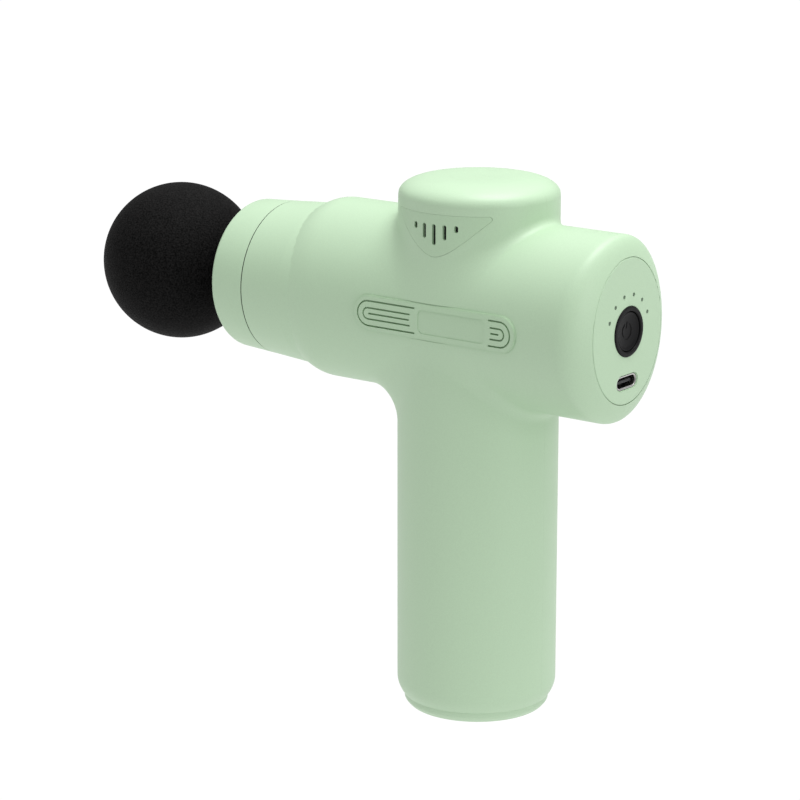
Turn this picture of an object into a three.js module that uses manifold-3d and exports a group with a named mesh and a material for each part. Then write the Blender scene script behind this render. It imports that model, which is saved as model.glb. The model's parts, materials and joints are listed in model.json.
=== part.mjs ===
// Mini massage gun: a T-shaped clamshell casing with a motor in its dome, a battery pack in
// its grip, and a crank that drives a plunger and its foam ball head back and forth.
// Millimetres, +Z up, nose towards -X. The origin is the centre of the grip's base.

import * as THREE from 'three';
import { mergeVertices } from 'three/addons/utils/BufferGeometryUtils.js';
import Module from 'manifold-3d';

const wasm = await Module();
wasm.setup();

// ---------- driving dimensions ----------

const SIDES = 24; // sides of a large round piece
const SMALL_SIDES = 12; // sides of a small round piece
const GAP = 0.3; // clearance between pieces that meet end to end
const FIT = 0.15; // radial clearance of a round fit

// casing
const WALL = 2.2;
const BARREL_AXIS_Z = 108;
const BARREL_HALF_HEIGHT = 24.3;
const BARREL_HALF_WIDTH = 22.4;
const SHOULDER_START_X = -50;
const SHOULDER_RADIUS = 21.9;
const SHOULDER_LENGTH = 7.5;
const SHOULDER_POWER = 2.2;
const NOSE_SEAM_X = -63;
const NOSE_SEAM_RADIUS = 21;
const NOSE_RIM_X = -74.6;
const NOSE_RIM_RADIUS = 20.3;
const NOSE_FLANGE = 1.5; // how far the nose seal stands out of the nose
const NOSE_FLANGE_RADIUS = 18.2;
const REAR_EDGE_X = 46;
const REAR_TOP_CORNER = 4.2; // length of the rear corner at the top and bottom
const REAR_SIDE_CORNER = 8; // length of the rear corner at the sides
const REAR_CORNER_POWER = 2.6;
const REAR_CROWN = 0.4;
const PANEL_HALF_HEIGHT = 19;
const PANEL_HALF_WIDTH = 15.8;
const PANEL_SEAT_X = 43.8;
const PANEL_LEDGE = 1.8;
const CAVITY_END_X = 41.5;
const GRIP_RADIUS = 21.2;
const GRIP_EDGE_Z = 3;
const GRIP_EDGE_RADIUS = 19.6;
const GRIP_EDGE_HEIGHT = 4.5;
const DOME_RADIUS = 21;
const DOME_TOP_Z = 143;
const DOME_EDGE_HEIGHT = 4.8;
const BASE_RADIUS = 19.3;
const BASE_FLAT_RADIUS = 17.4;
const BASE_SCREW_X = 13;

// side badges, with the casing's screws under them
const BADGE_CENTRE_X = 1.75;
const BADGE_LENGTH = 51.4;
const BADGE_HEIGHT = 9.8;
const BADGE_SEAT_DEPTH = 0.9;
const BADGE_PROUD = 0.5;
const CASING_SCREW_X = [-14, 17];

// vents in the dome's sides: the lower edge stays level with the foot of the dome
const VENT_CENTRE_X = 0.8;
const VENT_TOP_Z = 136;
const VENT_ABOVE_FOOT = 8.4;
const VENT_THICKNESS = 0.9;
const VENT_SLOT_TOP_Z = 133.4;
const VENT_SLOT_WIDTH = 1.1;
const VENT_SLOT_SPACING = 3.05;
const VENT_SLOT_LENGTHS = [1.8, 3.9, 5.4, 3.9, 1.8];

// controls on the rear panel
const BUTTON_RADIUS = 5.1;
const BEZEL_RADIUS = 6.5;
const LIGHT_RING_RADIUS = 9.4;
const LIGHT_COUNT = 6;
const LIGHT_SPACING = 27; // degrees
const LIGHT_RADIUS = 0.45;
const PORT_Z = -13.1; // from the barrel's axis
const PORT_WIDTH = 9.1;
const PORT_HEIGHT = 3.5;
const BOARD_X = 36.1;
const BOARD_THICKNESS = 1.6;
const POST_Y = 10.4;
const POST_Z = -4;

// drive, measured from the barrel's axis
const CRANK_RADIUS = 3.5;
const PIN_RADIUS = 2;
const BEARING_RADIUS = 4;
const YOKE_PLAY = 0.85; // free play of the bearing in the yoke, along the stroke
const YOKE_WALL = 3;
const YOKE_HALF_HEIGHT = 3;
const PLUNGER_RADIUS = 8;
const PLUNGER_FACE_X = -75;
const PLUNGER_REAR_X = -15;
const TANG_DEPTH = 5;
const TANG_HALF_WIDTH = 5;
const SOCKET_RADIUS = 5.6;
const SOCKET_DEPTH = 23;
const ORING_X = -68.2;
const ORING_RADIUS = 6.2;
const ORING_SECTION = 0.62;
const SLEEVE_START_X = -58;
const SLEEVE_RADIUS = 12;
const FRAME_LENGTH = 41;
const FRAME_WIDTH = 33;
const FRAME_WALL = 2.8;
const FRAME_BOTTOM = -11.3;
const FRAME_TOP = 6.7;
const MOTOR_SCREW_X = 18;
const MOTOR_SCREW_Y = 14;

// motor, measured up from the barrel's axis
const WHEEL_BOTTOM = 3.2;
const WHEEL_TOP = 6.6;
const BRACKET_BOTTOM = 7;
const BRACKET_TOP = 9.5;
const BEARING_TUBE_TOP = 24;
const CAN_BOTTOM = 11;
const CAN_TOP = 25.5;
const CAN_RADIUS = 17;
const SHAFT_RADIUS = 2.5;
const CABLE_NOTCH_Y = 14.6;
const TOOTH_COUNT = 9;
const FAN_BOTTOM = 26;
const BLADE_COUNT = 7;

// head
const BALL_X = -102.3;
const BALL_RADIUS = 21.8;
const SHANK_RADIUS = 5.2;
const SHANK_LENGTH = 17;
const COLLAR_RADIUS = 7.8;
const SPIGOT_RADIUS = 5.9;

// battery pack
const CELL_RADIUS = 9.2;
const CELL_SPACING = 18.6;
const CELL_BOTTOM_Z = 11.6;
const CELL_LENGTH = 65;
const HOLDER_THICKNESS = 3;
const BOARD_HALF_WIDTH = 12;

// ---------- looks ----------

const LOOKS = {
  mint: { color: 0xbfdcba, roughness: 0.45, metalness: 0 },
  black: { color: 0x19191b, roughness: 0.55, metalness: 0 },
  rubber: { color: 0x222224, roughness: 0.85, metalness: 0 },
  foam: { color: 0x1c1b1c, roughness: 0.95, metalness: 0 },
  steel: { color: 0xb4b8bc, roughness: 0.35, metalness: 1 },
  alloy: { color: 0xc9ccd0, roughness: 0.4, metalness: 1 },
  copper: { color: 0xb4683a, roughness: 0.4, metalness: 1 },
  nylon: { color: 0xe6e4dc, roughness: 0.6, metalness: 0 },
  board: { color: 0x1d5c3c, roughness: 0.5, metalness: 0 },
  cell: { color: 0x3f6fb0, roughness: 0.4, metalness: 0 },
  light: { color: 0xdfe8df, roughness: 0.3, metalness: 0 },
  red: { color: 0xb02a22, roughness: 0.5, metalness: 0 },
};

// ---------- solids ----------

function facesInwards(position, faces) {
  const corners = [new THREE.Vector3(), new THREE.Vector3(), new THREE.Vector3()];
  let volume = 0;
  faces.forEach((face) => {
    corners.forEach((corner, i) => corner.fromBufferAttribute(position, face[i]));
    volume += corners[0].dot(corners[1].clone().cross(corners[2]));
  });
  return volume < 0;
}

// A closed three.js geometry as a solid that can be joined and cut.
function solid(geometry) {
  geometry.deleteAttribute('normal');
  geometry.deleteAttribute('uv');
  const merged = mergeVertices(geometry, 1e-4);
  const indices = Array.from(merged.index.array);
  const faces = [];
  for (let i = 0; i < indices.length; i += 3) {
    const [a, b, c] = indices.slice(i, i + 3);
    if (a !== b && b !== c && c !== a) faces.push([a, b, c]);
  }
  if (facesInwards(merged.attributes.position, faces)) {
    faces.forEach((face) => face.reverse());
  }
  return new wasm.Manifold(new wasm.Mesh({
    numProp: 3,
    vertProperties: Float32Array.from(merged.attributes.position.array),
    triVerts: Uint32Array.from(faces.flat()),
  }));
}

function geometryOf(shape) {
  const result = shape.getMesh();
  const geometry = new THREE.BufferGeometry();
  geometry.setAttribute('position', new THREE.BufferAttribute(result.vertProperties, 3));
  geometry.setIndex(new THREE.BufferAttribute(result.triVerts, 1));
  geometry.computeVertexNormals();
  return geometry;
}

// Turns a geometry made along +Y so that it lies along the axis.
function alongAxis(geometry, axis) {
  if (axis === 'x') geometry.rotateZ(-Math.PI / 2);
  if (axis === 'z') geometry.rotateX(Math.PI / 2);
  return geometry;
}

// A solid of revolution through points of [place along the axis, radius].
function turned(axis, profile, sides = SIDES) {
  const points = profile.map(([place, radius]) => new THREE.Vector2(radius, place));
  return solid(alongAxis(new THREE.LatheGeometry(points, sides), axis));
}

function rod(axis, radius, start, end, sides = SMALL_SIDES) {
  return turned(axis, [[start, 0], [start, radius], [end, radius], [end, 0]], sides);
}

function ring(axis, outer, inner, start, end, sides = SIDES) {
  const corners = [[start, inner], [start, outer], [end, outer], [end, inner]];
  return turned(axis, [...corners, corners[0]], sides);
}

function box(x, y, z) {
  const geometry = new THREE.BoxGeometry(x[1] - x[0], y[1] - y[0], z[1] - z[0]);
  geometry.translate((x[0] + x[1]) / 2, (y[0] + y[1]) / 2, (z[0] + z[1]) / 2);
  return solid(geometry);
}

// A flat outline in the XY plane, raised from one height to another.
function raised(shape, bottom, top, curveSegments = 5) {
  const options = { depth: top - bottom, bevelEnabled: false, curveSegments };
  return solid(new THREE.ExtrudeGeometry(shape, options).translate(0, 0, bottom));
}

// Turns a raised outline to face +X, with its X along Y and its Y along Z.
function facingRear(shape) {
  return shape.rotate([90, 0, 90]);
}

// Turns a raised outline to face out of one side of the casing: -1 is left, 1 is right.
function facingSide(shape, side) {
  return side < 0 ? shape.rotate([90, 0, 0]) : shape.rotate([90, 0, 0]).mirror([0, 1, 0]);
}

// A slot outline with round ends, centred on the origin.
function stadium(length, width) {
  const half = width / 2;
  const reach = length / 2 - half;
  const shape = new THREE.Shape();
  shape.moveTo(-reach, -half);
  shape.lineTo(reach, -half);
  shape.absarc(reach, 0, half, -Math.PI / 2, Math.PI / 2);
  shape.lineTo(-reach, half);
  shape.absarc(-reach, 0, half, Math.PI / 2, Math.PI * 1.5);
  return shape;
}

// A tube of the given section along a smooth curve through the points.
function tube(points, section, steps) {
  const path = new THREE.CatmullRomCurve3(points.map((point) => new THREE.Vector3(...point)));
  return solid(new THREE.ExtrudeGeometry(section, { steps, extrudePath: path, curveSegments: 4 }));
}

function roundSection(radius) {
  const shape = new THREE.Shape();
  shape.absarc(0, 0, radius, 0, Math.PI * 2);
  return shape;
}

function joined(...pieces) {
  return pieces.reduce((whole, piece) => whole.add(piece));
}

function cut(body, ...tools) {
  return tools.reduce((rest, tool) => rest.subtract(tool), body);
}

// A cap screw standing on the origin: its head above, its shank below.
function screw(headRadius, headHeight, shankRadius, shankLength) {
  return joined(
    rod('z', headRadius, 0, headHeight),
    rod('z', shankRadius, -shankLength, 0.1, 8),
  );
}

function add(parent, name, shape, look) {
  const mesh = new THREE.Mesh(geometryOf(shape), new THREE.MeshStandardMaterial({ ...look }));
  mesh.name = name;
  parent.add(mesh);
  return mesh;
}

// ---------- casing ----------

// How full the barrel still is along the rear corner: 1 at its start, 0 at the rear edge.
function rearCorner(x, length) {
  const along = Math.max(x - REAR_EDGE_X + length, 0) / length;
  return 1 - along ** REAR_CORNER_POWER;
}

// Half-height and half-width of the barrel along X, from the nose seam to the rear edge.
function barrelStations() {
  const { lerp } = THREE.MathUtils;
  const shoulderSteps = 4;
  const stations = [[NOSE_SEAM_X, NOSE_SEAM_RADIUS, NOSE_SEAM_RADIUS]];
  for (let i = 0; i <= shoulderSteps; i++) {
    const rise = 1 - (1 - i / shoulderSteps) ** SHOULDER_POWER;
    stations.push([
      SHOULDER_START_X + (SHOULDER_LENGTH * i) / shoulderSteps,
      lerp(SHOULDER_RADIUS, BARREL_HALF_HEIGHT, rise),
      lerp(SHOULDER_RADIUS, BARREL_HALF_WIDTH, rise),
    ]);
  }
  [0, 0.25, 0.5, 0.7, 0.85, 0.95, 1].forEach((share) => {
    const x = REAR_EDGE_X - REAR_SIDE_CORNER * (1 - share);
    stations.push([
      x,
      lerp(PANEL_HALF_HEIGHT, BARREL_HALF_HEIGHT, rearCorner(x, REAR_TOP_CORNER)),
      lerp(PANEL_HALF_WIDTH, BARREL_HALF_WIDTH, rearCorner(x, REAR_SIDE_CORNER)),
    ]);
  });
  return stations;
}

// The hollow inside the barrel, open at the nose.
function cavityStations() {
  const noseHollow = NOSE_SEAM_RADIUS - WALL;
  const high = BARREL_HALF_HEIGHT - WALL;
  const wide = BARREL_HALF_WIDTH - WALL;
  return [
    [NOSE_SEAM_X - 1, noseHollow, noseHollow],
    [SHOULDER_START_X, noseHollow, noseHollow],
    [SHOULDER_START_X + SHOULDER_LENGTH, high, wide],
    [REAR_EDGE_X - REAR_SIDE_CORNER, high, wide],
    [CAVITY_END_X, PANEL_HALF_HEIGHT, PANEL_HALF_WIDTH + 1],
  ];
}

// An oval barrel through stations of [x, half-height, half-width].
function ovalBarrel(stations) {
  const first = stations[0];
  const last = stations[stations.length - 1];
  const rows = [[first[0], 0, 1], ...stations, [last[0], 0, 1]];
  const points = rows.map(([x, high]) => new THREE.Vector2(high, x));
  const geometry = alongAxis(new THREE.LatheGeometry(points, SIDES), 'x');
  const position = geometry.attributes.position;
  for (let i = 0; i < position.count; i++) {
    const [, high, wide] = rows[i % rows.length];
    if (high > 0) position.setY(i, (position.getY(i) * wide) / high);
  }
  return solid(geometry).translate([0, 0, BARREL_AXIS_Z]);
}

// The grip with the dome over it, drawn in by an offset.
function gripColumn(offset, foot) {
  const edgeSteps = 4;
  const domeEdgeZ = DOME_TOP_Z - DOME_EDGE_HEIGHT;
  const profile = [
    ...foot,
    [BARREL_AXIS_Z, GRIP_RADIUS - offset],
    [BARREL_AXIS_Z + 1, DOME_RADIUS - offset],
  ];
  for (let i = 0; i < edgeSteps; i++) {
    const angle = (i / edgeSteps) * (Math.PI / 2);
    profile.push([
      domeEdgeZ + (DOME_EDGE_HEIGHT - offset) * Math.sin(angle),
      (DOME_RADIUS - offset) * Math.cos(angle) ** 0.45,
    ]);
  }
  profile.push([DOME_TOP_Z - offset, 0]);
  return turned('z', profile);
}

// Makes a round piece as oval as the rear panel.
function narrowed(shape) {
  return shape.scale([1, PANEL_HALF_WIDTH / PANEL_HALF_HEIGHT, 1]);
}

function casingShell() {
  const outerFoot = [
    [GRIP_EDGE_Z, 0],
    [GRIP_EDGE_Z, GRIP_EDGE_RADIUS],
    [GRIP_EDGE_Z + GRIP_EDGE_HEIGHT / 3, GRIP_RADIUS - 0.6],
    [GRIP_EDGE_Z + GRIP_EDGE_HEIGHT, GRIP_RADIUS],
  ];
  const hollowFoot = [[0, 0], [0, GRIP_RADIUS - WALL]];
  const outer = joined(ovalBarrel(barrelStations()), gripColumn(0, outerFoot));
  const hollow = joined(ovalBarrel(cavityStations()), gripColumn(WALL, hollowFoot));
  const end = REAR_EDGE_X + 5;
  const rearOpening = rod('x', PANEL_HALF_HEIGHT - PANEL_LEDGE, CAVITY_END_X - 1, end, SIDES);
  const panelSeat = rod('x', PANEL_HALF_HEIGHT + 0.05, PANEL_SEAT_X, end, SIDES);
  const rear = narrowed(joined(rearOpening, panelSeat)).translate([0, 0, BARREL_AXIS_Z]);
  return cut(outer, hollow, rear);
}

// The badge's seat, with the sinks and holes of the screws under it.
function badgeSeat(side) {
  const seatY = BARREL_HALF_WIDTH - BADGE_SEAT_DEPTH;
  const seat = raised(stadium(BADGE_LENGTH + GAP, BADGE_HEIGHT + GAP), seatY, BARREL_HALF_WIDTH + 3)
    .translate([BADGE_CENTRE_X, 0, 0]);
  const holes = CASING_SCREW_X.flatMap((x) => [
    rod('z', 2.6, seatY - 0.9, seatY + 1).translate([x, 0, 0]),
    rod('z', 1.3, FRAME_WIDTH / 2, seatY + 1, 8).translate([x, 0, 0]),
  ]);
  return facingSide(joined(seat, ...holes), side).translate([0, 0, BARREL_AXIS_Z]);
}

// Bosses inside the casing that stand on the drive frame.
function casingBosses(side) {
  const bosses = CASING_SCREW_X.map((x) => (
    rod('z', 3.2, FRAME_WIDTH / 2 + 1.7, BARREL_HALF_WIDTH - 1.4).translate([x, 0, 0])));
  return facingSide(joined(...bosses), side).translate([0, 0, BARREL_AXIS_Z]);
}

// Height at which the dome's side meets the barrel, at a distance along X from the dome's axis.
function domeFootZ(x) {
  const y2 = DOME_RADIUS ** 2 - x ** 2;
  return BARREL_AXIS_Z + BARREL_HALF_HEIGHT * Math.sqrt(1 - y2 / BARREL_HALF_WIDTH ** 2);
}

// The vent's outline, flat on top and following the dome's foot below, shrunk by a margin.
function ventOutline(margin) {
  const top = VENT_TOP_Z - margin;
  const drop = (top - VENT_ABOVE_FOOT - margin - BARREL_AXIS_Z) / BARREL_HALF_HEIGHT;
  const reach = Math.sqrt(DOME_RADIUS ** 2 - BARREL_HALF_WIDTH ** 2 * (1 - drop ** 2));
  const steps = 8;
  const points = [];
  for (let i = 0; i <= steps; i++) {
    const x = reach * ((2 * i) / steps - 1);
    points.push(new THREE.Vector2(x, domeFootZ(x) + VENT_ABOVE_FOOT + margin));
  }
  return new THREE.Shape(points);
}

function ventBlock(side, margin) {
  return facingSide(raised(ventOutline(margin), DOME_RADIUS / 4, DOME_RADIUS + 2), side)
    .translate([VENT_CENTRE_X, 0, 0]);
}

function buildCasing(parent) {
  const shell = casingShell();
  const reach = DOME_TOP_Z + 60;
  [['casing_left', -1], ['casing_right', 1]].forEach(([name, side]) => {
    const across = side < 0 ? [-reach, -GAP / 2] : [GAP / 2, reach];
    const half = shell.intersect(box([-reach, reach], across, [-reach, reach]));
    const whole = joined(half, casingBosses(side));
    add(parent, name, cut(whole, badgeSeat(side), ventBlock(side, 0)), LOOKS.mint);
  });
}

function buildBadge(parent, name, side) {
  const bottom = BARREL_HALF_WIDTH - BADGE_SEAT_DEPTH + 0.15;
  const top = BARREL_HALF_WIDTH + BADGE_PROUD;
  const plate = raised(stadium(BADGE_LENGTH, BADGE_HEIGHT), bottom, top);
  const blank = raised(stadium(BADGE_LENGTH * 0.55, BADGE_HEIGHT * 0.65), top - 0.25, top + 1);
  const badge = facingSide(cut(plate, blank), side);
  add(parent, name, badge, LOOKS.mint).position.x = BADGE_CENTRE_X;
}

function buildVent(parent, name, side) {
  const inner = DOME_RADIUS - VENT_THICKNESS;
  const skin = ring('z', DOME_RADIUS, inner, VENT_TOP_Z - 20, VENT_TOP_Z + 1);
  const slots = VENT_SLOT_LENGTHS.map((length, i) => {
    const x = VENT_CENTRE_X + (i - 2) * VENT_SLOT_SPACING;
    const slot = raised(stadium(length + 0.01, VENT_SLOT_WIDTH), DOME_RADIUS / 2, DOME_RADIUS + 2, 4);
    return facingSide(slot.rotate([0, 0, 90]), side).translate([x, 0, VENT_SLOT_TOP_Z - length / 2]);
  });
  add(parent, name, cut(skin.intersect(ventBlock(side, GAP)), ...slots), LOOKS.mint);
}

// The four screws that hold the casing halves to the drive frame, under the badges.
function buildCasingScrews(parent) {
  [['left', -1], ['right', 1]].forEach(([word, side]) => {
    CASING_SCREW_X.forEach((x, i) => {
      const name = `casing_screw_${word}_${i + 1}`;
      const mesh = add(parent, name, screw(2.3, 0.7, 1, 6.3), LOOKS.steel);
      mesh.rotation.x = side < 0 ? Math.PI / 2 : -Math.PI / 2;
      mesh.position.set(x, side * (BARREL_HALF_WIDTH - BADGE_SEAT_DEPTH - 0.75), 0);
    });
  });
}

// ---------- nose ----------

function buildNose(parent) {
  const noseRing = turned('x', [
    [NOSE_SEAM_X - GAP, NOSE_SEAM_RADIUS],
    [NOSE_RIM_X + 1.4, NOSE_RIM_RADIUS],
    [NOSE_RIM_X + 0.4, NOSE_RIM_RADIUS - 0.4],
    [NOSE_RIM_X, NOSE_RIM_RADIUS - 1.3],
    [NOSE_RIM_X, 11.8],
    [NOSE_RIM_X + 2.5, 11.8],
    [NOSE_RIM_X + 2.5, 16.5],
    [NOSE_SEAM_X + 6, 16.5],
    [NOSE_SEAM_X + 6, NOSE_SEAM_RADIUS - WALL - FIT],
    [NOSE_SEAM_X - GAP, NOSE_SEAM_RADIUS - WALL - FIT],
    [NOSE_SEAM_X - GAP, NOSE_SEAM_RADIUS],
  ]);
  add(parent, 'nose_ring', noseRing, LOOKS.mint);

  // The seal reaches through the ring, with a flange on each side of it.
  const lip = PLUNGER_RADIUS + 0.35;
  const front = NOSE_RIM_X - NOSE_FLANGE;
  const seal = turned('x', [
    [front, lip],
    [front, NOSE_FLANGE_RADIUS - 0.8],
    [front + 0.8, NOSE_FLANGE_RADIUS],
    [NOSE_RIM_X - 0.1, NOSE_FLANGE_RADIUS],
    [NOSE_RIM_X - 0.1, 11.5],
    [NOSE_RIM_X + 2.8, 11.5],
    [NOSE_RIM_X + 2.8, 15.5],
    [NOSE_RIM_X + 3.8, 15.5],
    [NOSE_RIM_X + 3.8, lip],
    [front, lip],
  ]);
  add(parent, 'nose_seal', seal, LOOKS.rubber);
}

// ---------- rear panel and controls ----------

// How far back the crowned rear face stands at a height above or below the barrel's axis.
function rearFaceX(height) {
  return REAR_EDGE_X + REAR_CROWN * (1 - (height / PANEL_HALF_HEIGHT) ** 2);
}

function lightPlaces() {
  const places = [];
  for (let i = 0; i < LIGHT_COUNT; i++) {
    const angle = THREE.MathUtils.degToRad((i - (LIGHT_COUNT - 1) / 2) * LIGHT_SPACING);
    places.push([LIGHT_RING_RADIUS * Math.sin(angle), LIGHT_RING_RADIUS * Math.cos(angle)]);
  }
  return places;
}

function buildRearPanel(parent) {
  const rim = PANEL_HALF_HEIGHT - 0.2;
  const spigot = PANEL_HALF_HEIGHT - PANEL_LEDGE - 0.25;
  const inside = REAR_EDGE_X - 1;
  const body = narrowed(turned('x', [
    [inside, 0],
    [inside, spigot - 1.4],
    [CAVITY_END_X - 1.2, spigot - 1.4],
    [CAVITY_END_X - 1.2, spigot],
    [PANEL_SEAT_X + GAP, spigot],
    [PANEL_SEAT_X + GAP, rim],
    ...[rim, 15, 11, 6, 0].map((height) => [rearFaceX(height), height]),
  ]));
  const boardFace = BOARD_X + BOARD_THICKNESS + GAP;
  const posts = [];
  const holes = [];
  [-POST_Y, POST_Y].forEach((y) => {
    posts.push(rod('x', 2.2, boardFace, inside + 0.5).translate([0, y, POST_Z]));
    holes.push(rod('x', 0.95, boardFace - 1, boardFace + 5, 8).translate([0, y, POST_Z]));
  });
  lightPlaces().forEach(([y, z]) => {
    holes.push(rod('x', LIGHT_RADIUS + 0.2, inside - 1, inside + 5, 8).translate([0, y, z]));
  });
  holes.push(rod('x', BEZEL_RADIUS + FIT, inside - 1, inside + 5, SIDES));
  const port = raised(stadium(PORT_WIDTH + 0.4, PORT_HEIGHT + 0.4), inside - 1, inside + 5);
  holes.push(facingRear(port).translate([0, 0, PORT_Z]));
  add(parent, 'rear_panel', cut(joined(body, ...posts), ...holes), LOOKS.mint);
}

function buildButton(parent) {
  const face = rearFaceX(BEZEL_RADIUS);
  const bezel = ring('x', BEZEL_RADIUS, BUTTON_RADIUS + 0.2, REAR_EDGE_X - 1.6, face + 0.25, SIDES);
  add(parent, 'button_bezel', bezel, LOOKS.black);

  const flangeX = REAR_EDGE_X - 3;
  const button = turned('x', [
    [flangeX - 0.7, 0],
    [flangeX - 0.7, 1.5],
    [flangeX, 1.5],
    [flangeX, BEZEL_RADIUS + 0.4],
    [flangeX + 1, BEZEL_RADIUS + 0.4],
    [flangeX + 1, BUTTON_RADIUS],
    [face - 0.4, BUTTON_RADIUS],
    [face, BUTTON_RADIUS - 0.5],
    [face - 0.5, BUTTON_RADIUS / 2],
    [face - 0.7, 0],
  ], 20);
  add(parent, 'power_button', button, LOOKS.black);

  const switchX = BOARD_X + BOARD_THICKNESS + GAP;
  const body = box([switchX, switchX + 2.8], [-3, 3], [-3, 3]);
  add(parent, 'tact_switch', cut(body, rod('x', 1.9, switchX + 1.4, switchX + 4)), LOOKS.black);
  add(parent, 'tact_switch_plunger', rod('x', 1.6, switchX + 2.1, flangeX - 1), LOOKS.nylon);
}

function buildLights(parent) {
  const half = THREE.MathUtils.degToRad(80);
  const middle = Math.PI / 2;
  const sector = new THREE.Shape();
  sector.absarc(0, 0, LIGHT_RING_RADIUS + 0.9, middle - half, middle + half, false);
  sector.absarc(0, 0, LIGHT_RING_RADIUS - 0.9, middle + half, middle - half, true);
  const plate = facingRear(raised(sector, REAR_EDGE_X - 3.4, REAR_EDGE_X - 1.4, 12));
  const tip = rearFaceX(LIGHT_RING_RADIUS) - 0.1;
  const prongs = lightPlaces().map(([y, z]) => (
    rod('x', LIGHT_RADIUS, REAR_EDGE_X - 1.6, tip, 8).translate([0, y, z])));
  add(parent, 'led_light_guide', joined(plate, ...prongs), LOOKS.light);
}

function buildPort(parent) {
  const start = BOARD_X + BOARD_THICKNESS + GAP;
  const end = rearFaceX(-PORT_Z) - 0.4;
  const outer = raised(stadium(PORT_WIDTH - 0.1, PORT_HEIGHT - 0.2), start, end, 5);
  const inner = raised(stadium(PORT_WIDTH - 0.8, PORT_HEIGHT - 0.9), start + 0.8, end + 1, 5);
  add(parent, 'usb_c_shell', facingRear(cut(outer, inner)), LOOKS.steel).position.z = PORT_Z;
  const tongue = box([start + 1.1, end - 0.8], [-3.3, 3.3], [-0.35, 0.35]);
  add(parent, 'usb_c_tongue', tongue, LOOKS.black).position.z = PORT_Z;
}

function buildControlBoard(parent) {
  const disc = rod('x', 16.5, BOARD_X, BOARD_X + BOARD_THICKNESS, SIDES);
  const chip = box([BOARD_X - 1.2, BOARD_X + 0.2], [-4, 4], [3, 10]);
  const holes = [-POST_Y, POST_Y].map((y) => (
    rod('x', 1.1, BOARD_X - 2, BOARD_X + 4, 8).translate([0, y, POST_Z])));
  add(parent, 'control_board', cut(joined(disc, chip), ...holes), LOOKS.board);
  [-POST_Y, POST_Y].forEach((y, i) => {
    const mesh = add(parent, `board_screw_${i + 1}`, screw(1.7, 1, 0.8, 5.5), LOOKS.steel);
    mesh.rotation.y = -Math.PI / 2;
    mesh.position.set(BOARD_X - GAP, y, POST_Z);
  });
}

// ---------- drive ----------

function buildFrame(parent) {
  const halfLength = FRAME_LENGTH / 2;
  const halfWidth = FRAME_WIDTH / 2;
  const outer = box([-halfLength, halfLength], [-halfWidth, halfWidth], [FRAME_BOTTOM, FRAME_TOP]);
  const hollow = box(
    [-halfLength + FRAME_WALL, halfLength - FRAME_WALL],
    [-halfWidth + FRAME_WALL, halfWidth - FRAME_WALL],
    [FRAME_BOTTOM + 2.5, FRAME_TOP + 1],
  );
  const signs = [-1, 1];
  const corners = signs.flatMap((sx) => signs.map((sy) => [sx, sy]));
  const posts = corners.map(([sx, sy]) => box([-2.6, 2.6], [-2.6, 2.6], [FRAME_BOTTOM + 1, FRAME_TOP])
    .translate([sx * (halfLength - 2.6), sy * (halfWidth - 2.6), 0]));
  const sideBosses = CASING_SCREW_X.flatMap((x) => signs.map((side) => (
    facingSide(rod('z', 3, halfWidth - 0.5, halfWidth + 1.4), side).translate([x, 0, 0]))));
  const sideHoles = CASING_SCREW_X.flatMap((x) => signs.map((side) => (
    facingSide(rod('z', 1.2, halfWidth - 3.2, halfWidth + 3, 8), side).translate([x, 0, 0]))));
  const topHoles = corners.map(([sx, sy]) => (
    rod('z', 1.25, 1.6, FRAME_TOP + 1, 8).translate([sx * MOTOR_SCREW_X, sy * MOTOR_SCREW_Y, 0])));
  const plungerBore = rod('x', PLUNGER_RADIUS + 0.6, -halfLength - 1, -halfLength + FRAME_WALL + 1, SIDES);
  const whole = joined(cut(outer, hollow), ...posts, ...sideBosses);
  add(parent, 'drive_frame', cut(whole, ...sideHoles, ...topHoles, plungerBore), LOOKS.nylon);
}

function buildSleeve(parent) {
  const end = -FRAME_LENGTH / 2 - GAP;
  const bore = PLUNGER_RADIUS + 0.25;
  const sleeve = turned('x', [
    [SLEEVE_START_X, bore],
    [SLEEVE_START_X, SLEEVE_RADIUS],
    [end - 2.5, SLEEVE_RADIUS],
    [end - 2.5, 15.5],
    [end, 15.5],
    [end, bore],
    [SLEEVE_START_X, bore],
  ]);
  add(parent, 'guide_sleeve', sleeve, LOOKS.nylon);
  const hollow = NOSE_SEAM_RADIUS - WALL;
  const damper = ring('x', hollow - 0.2, SLEEVE_RADIUS + FIT, SLEEVE_START_X + 2, SLEEVE_START_X + 6);
  add(parent, 'sleeve_damper', damper, LOOKS.rubber);
}

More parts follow.
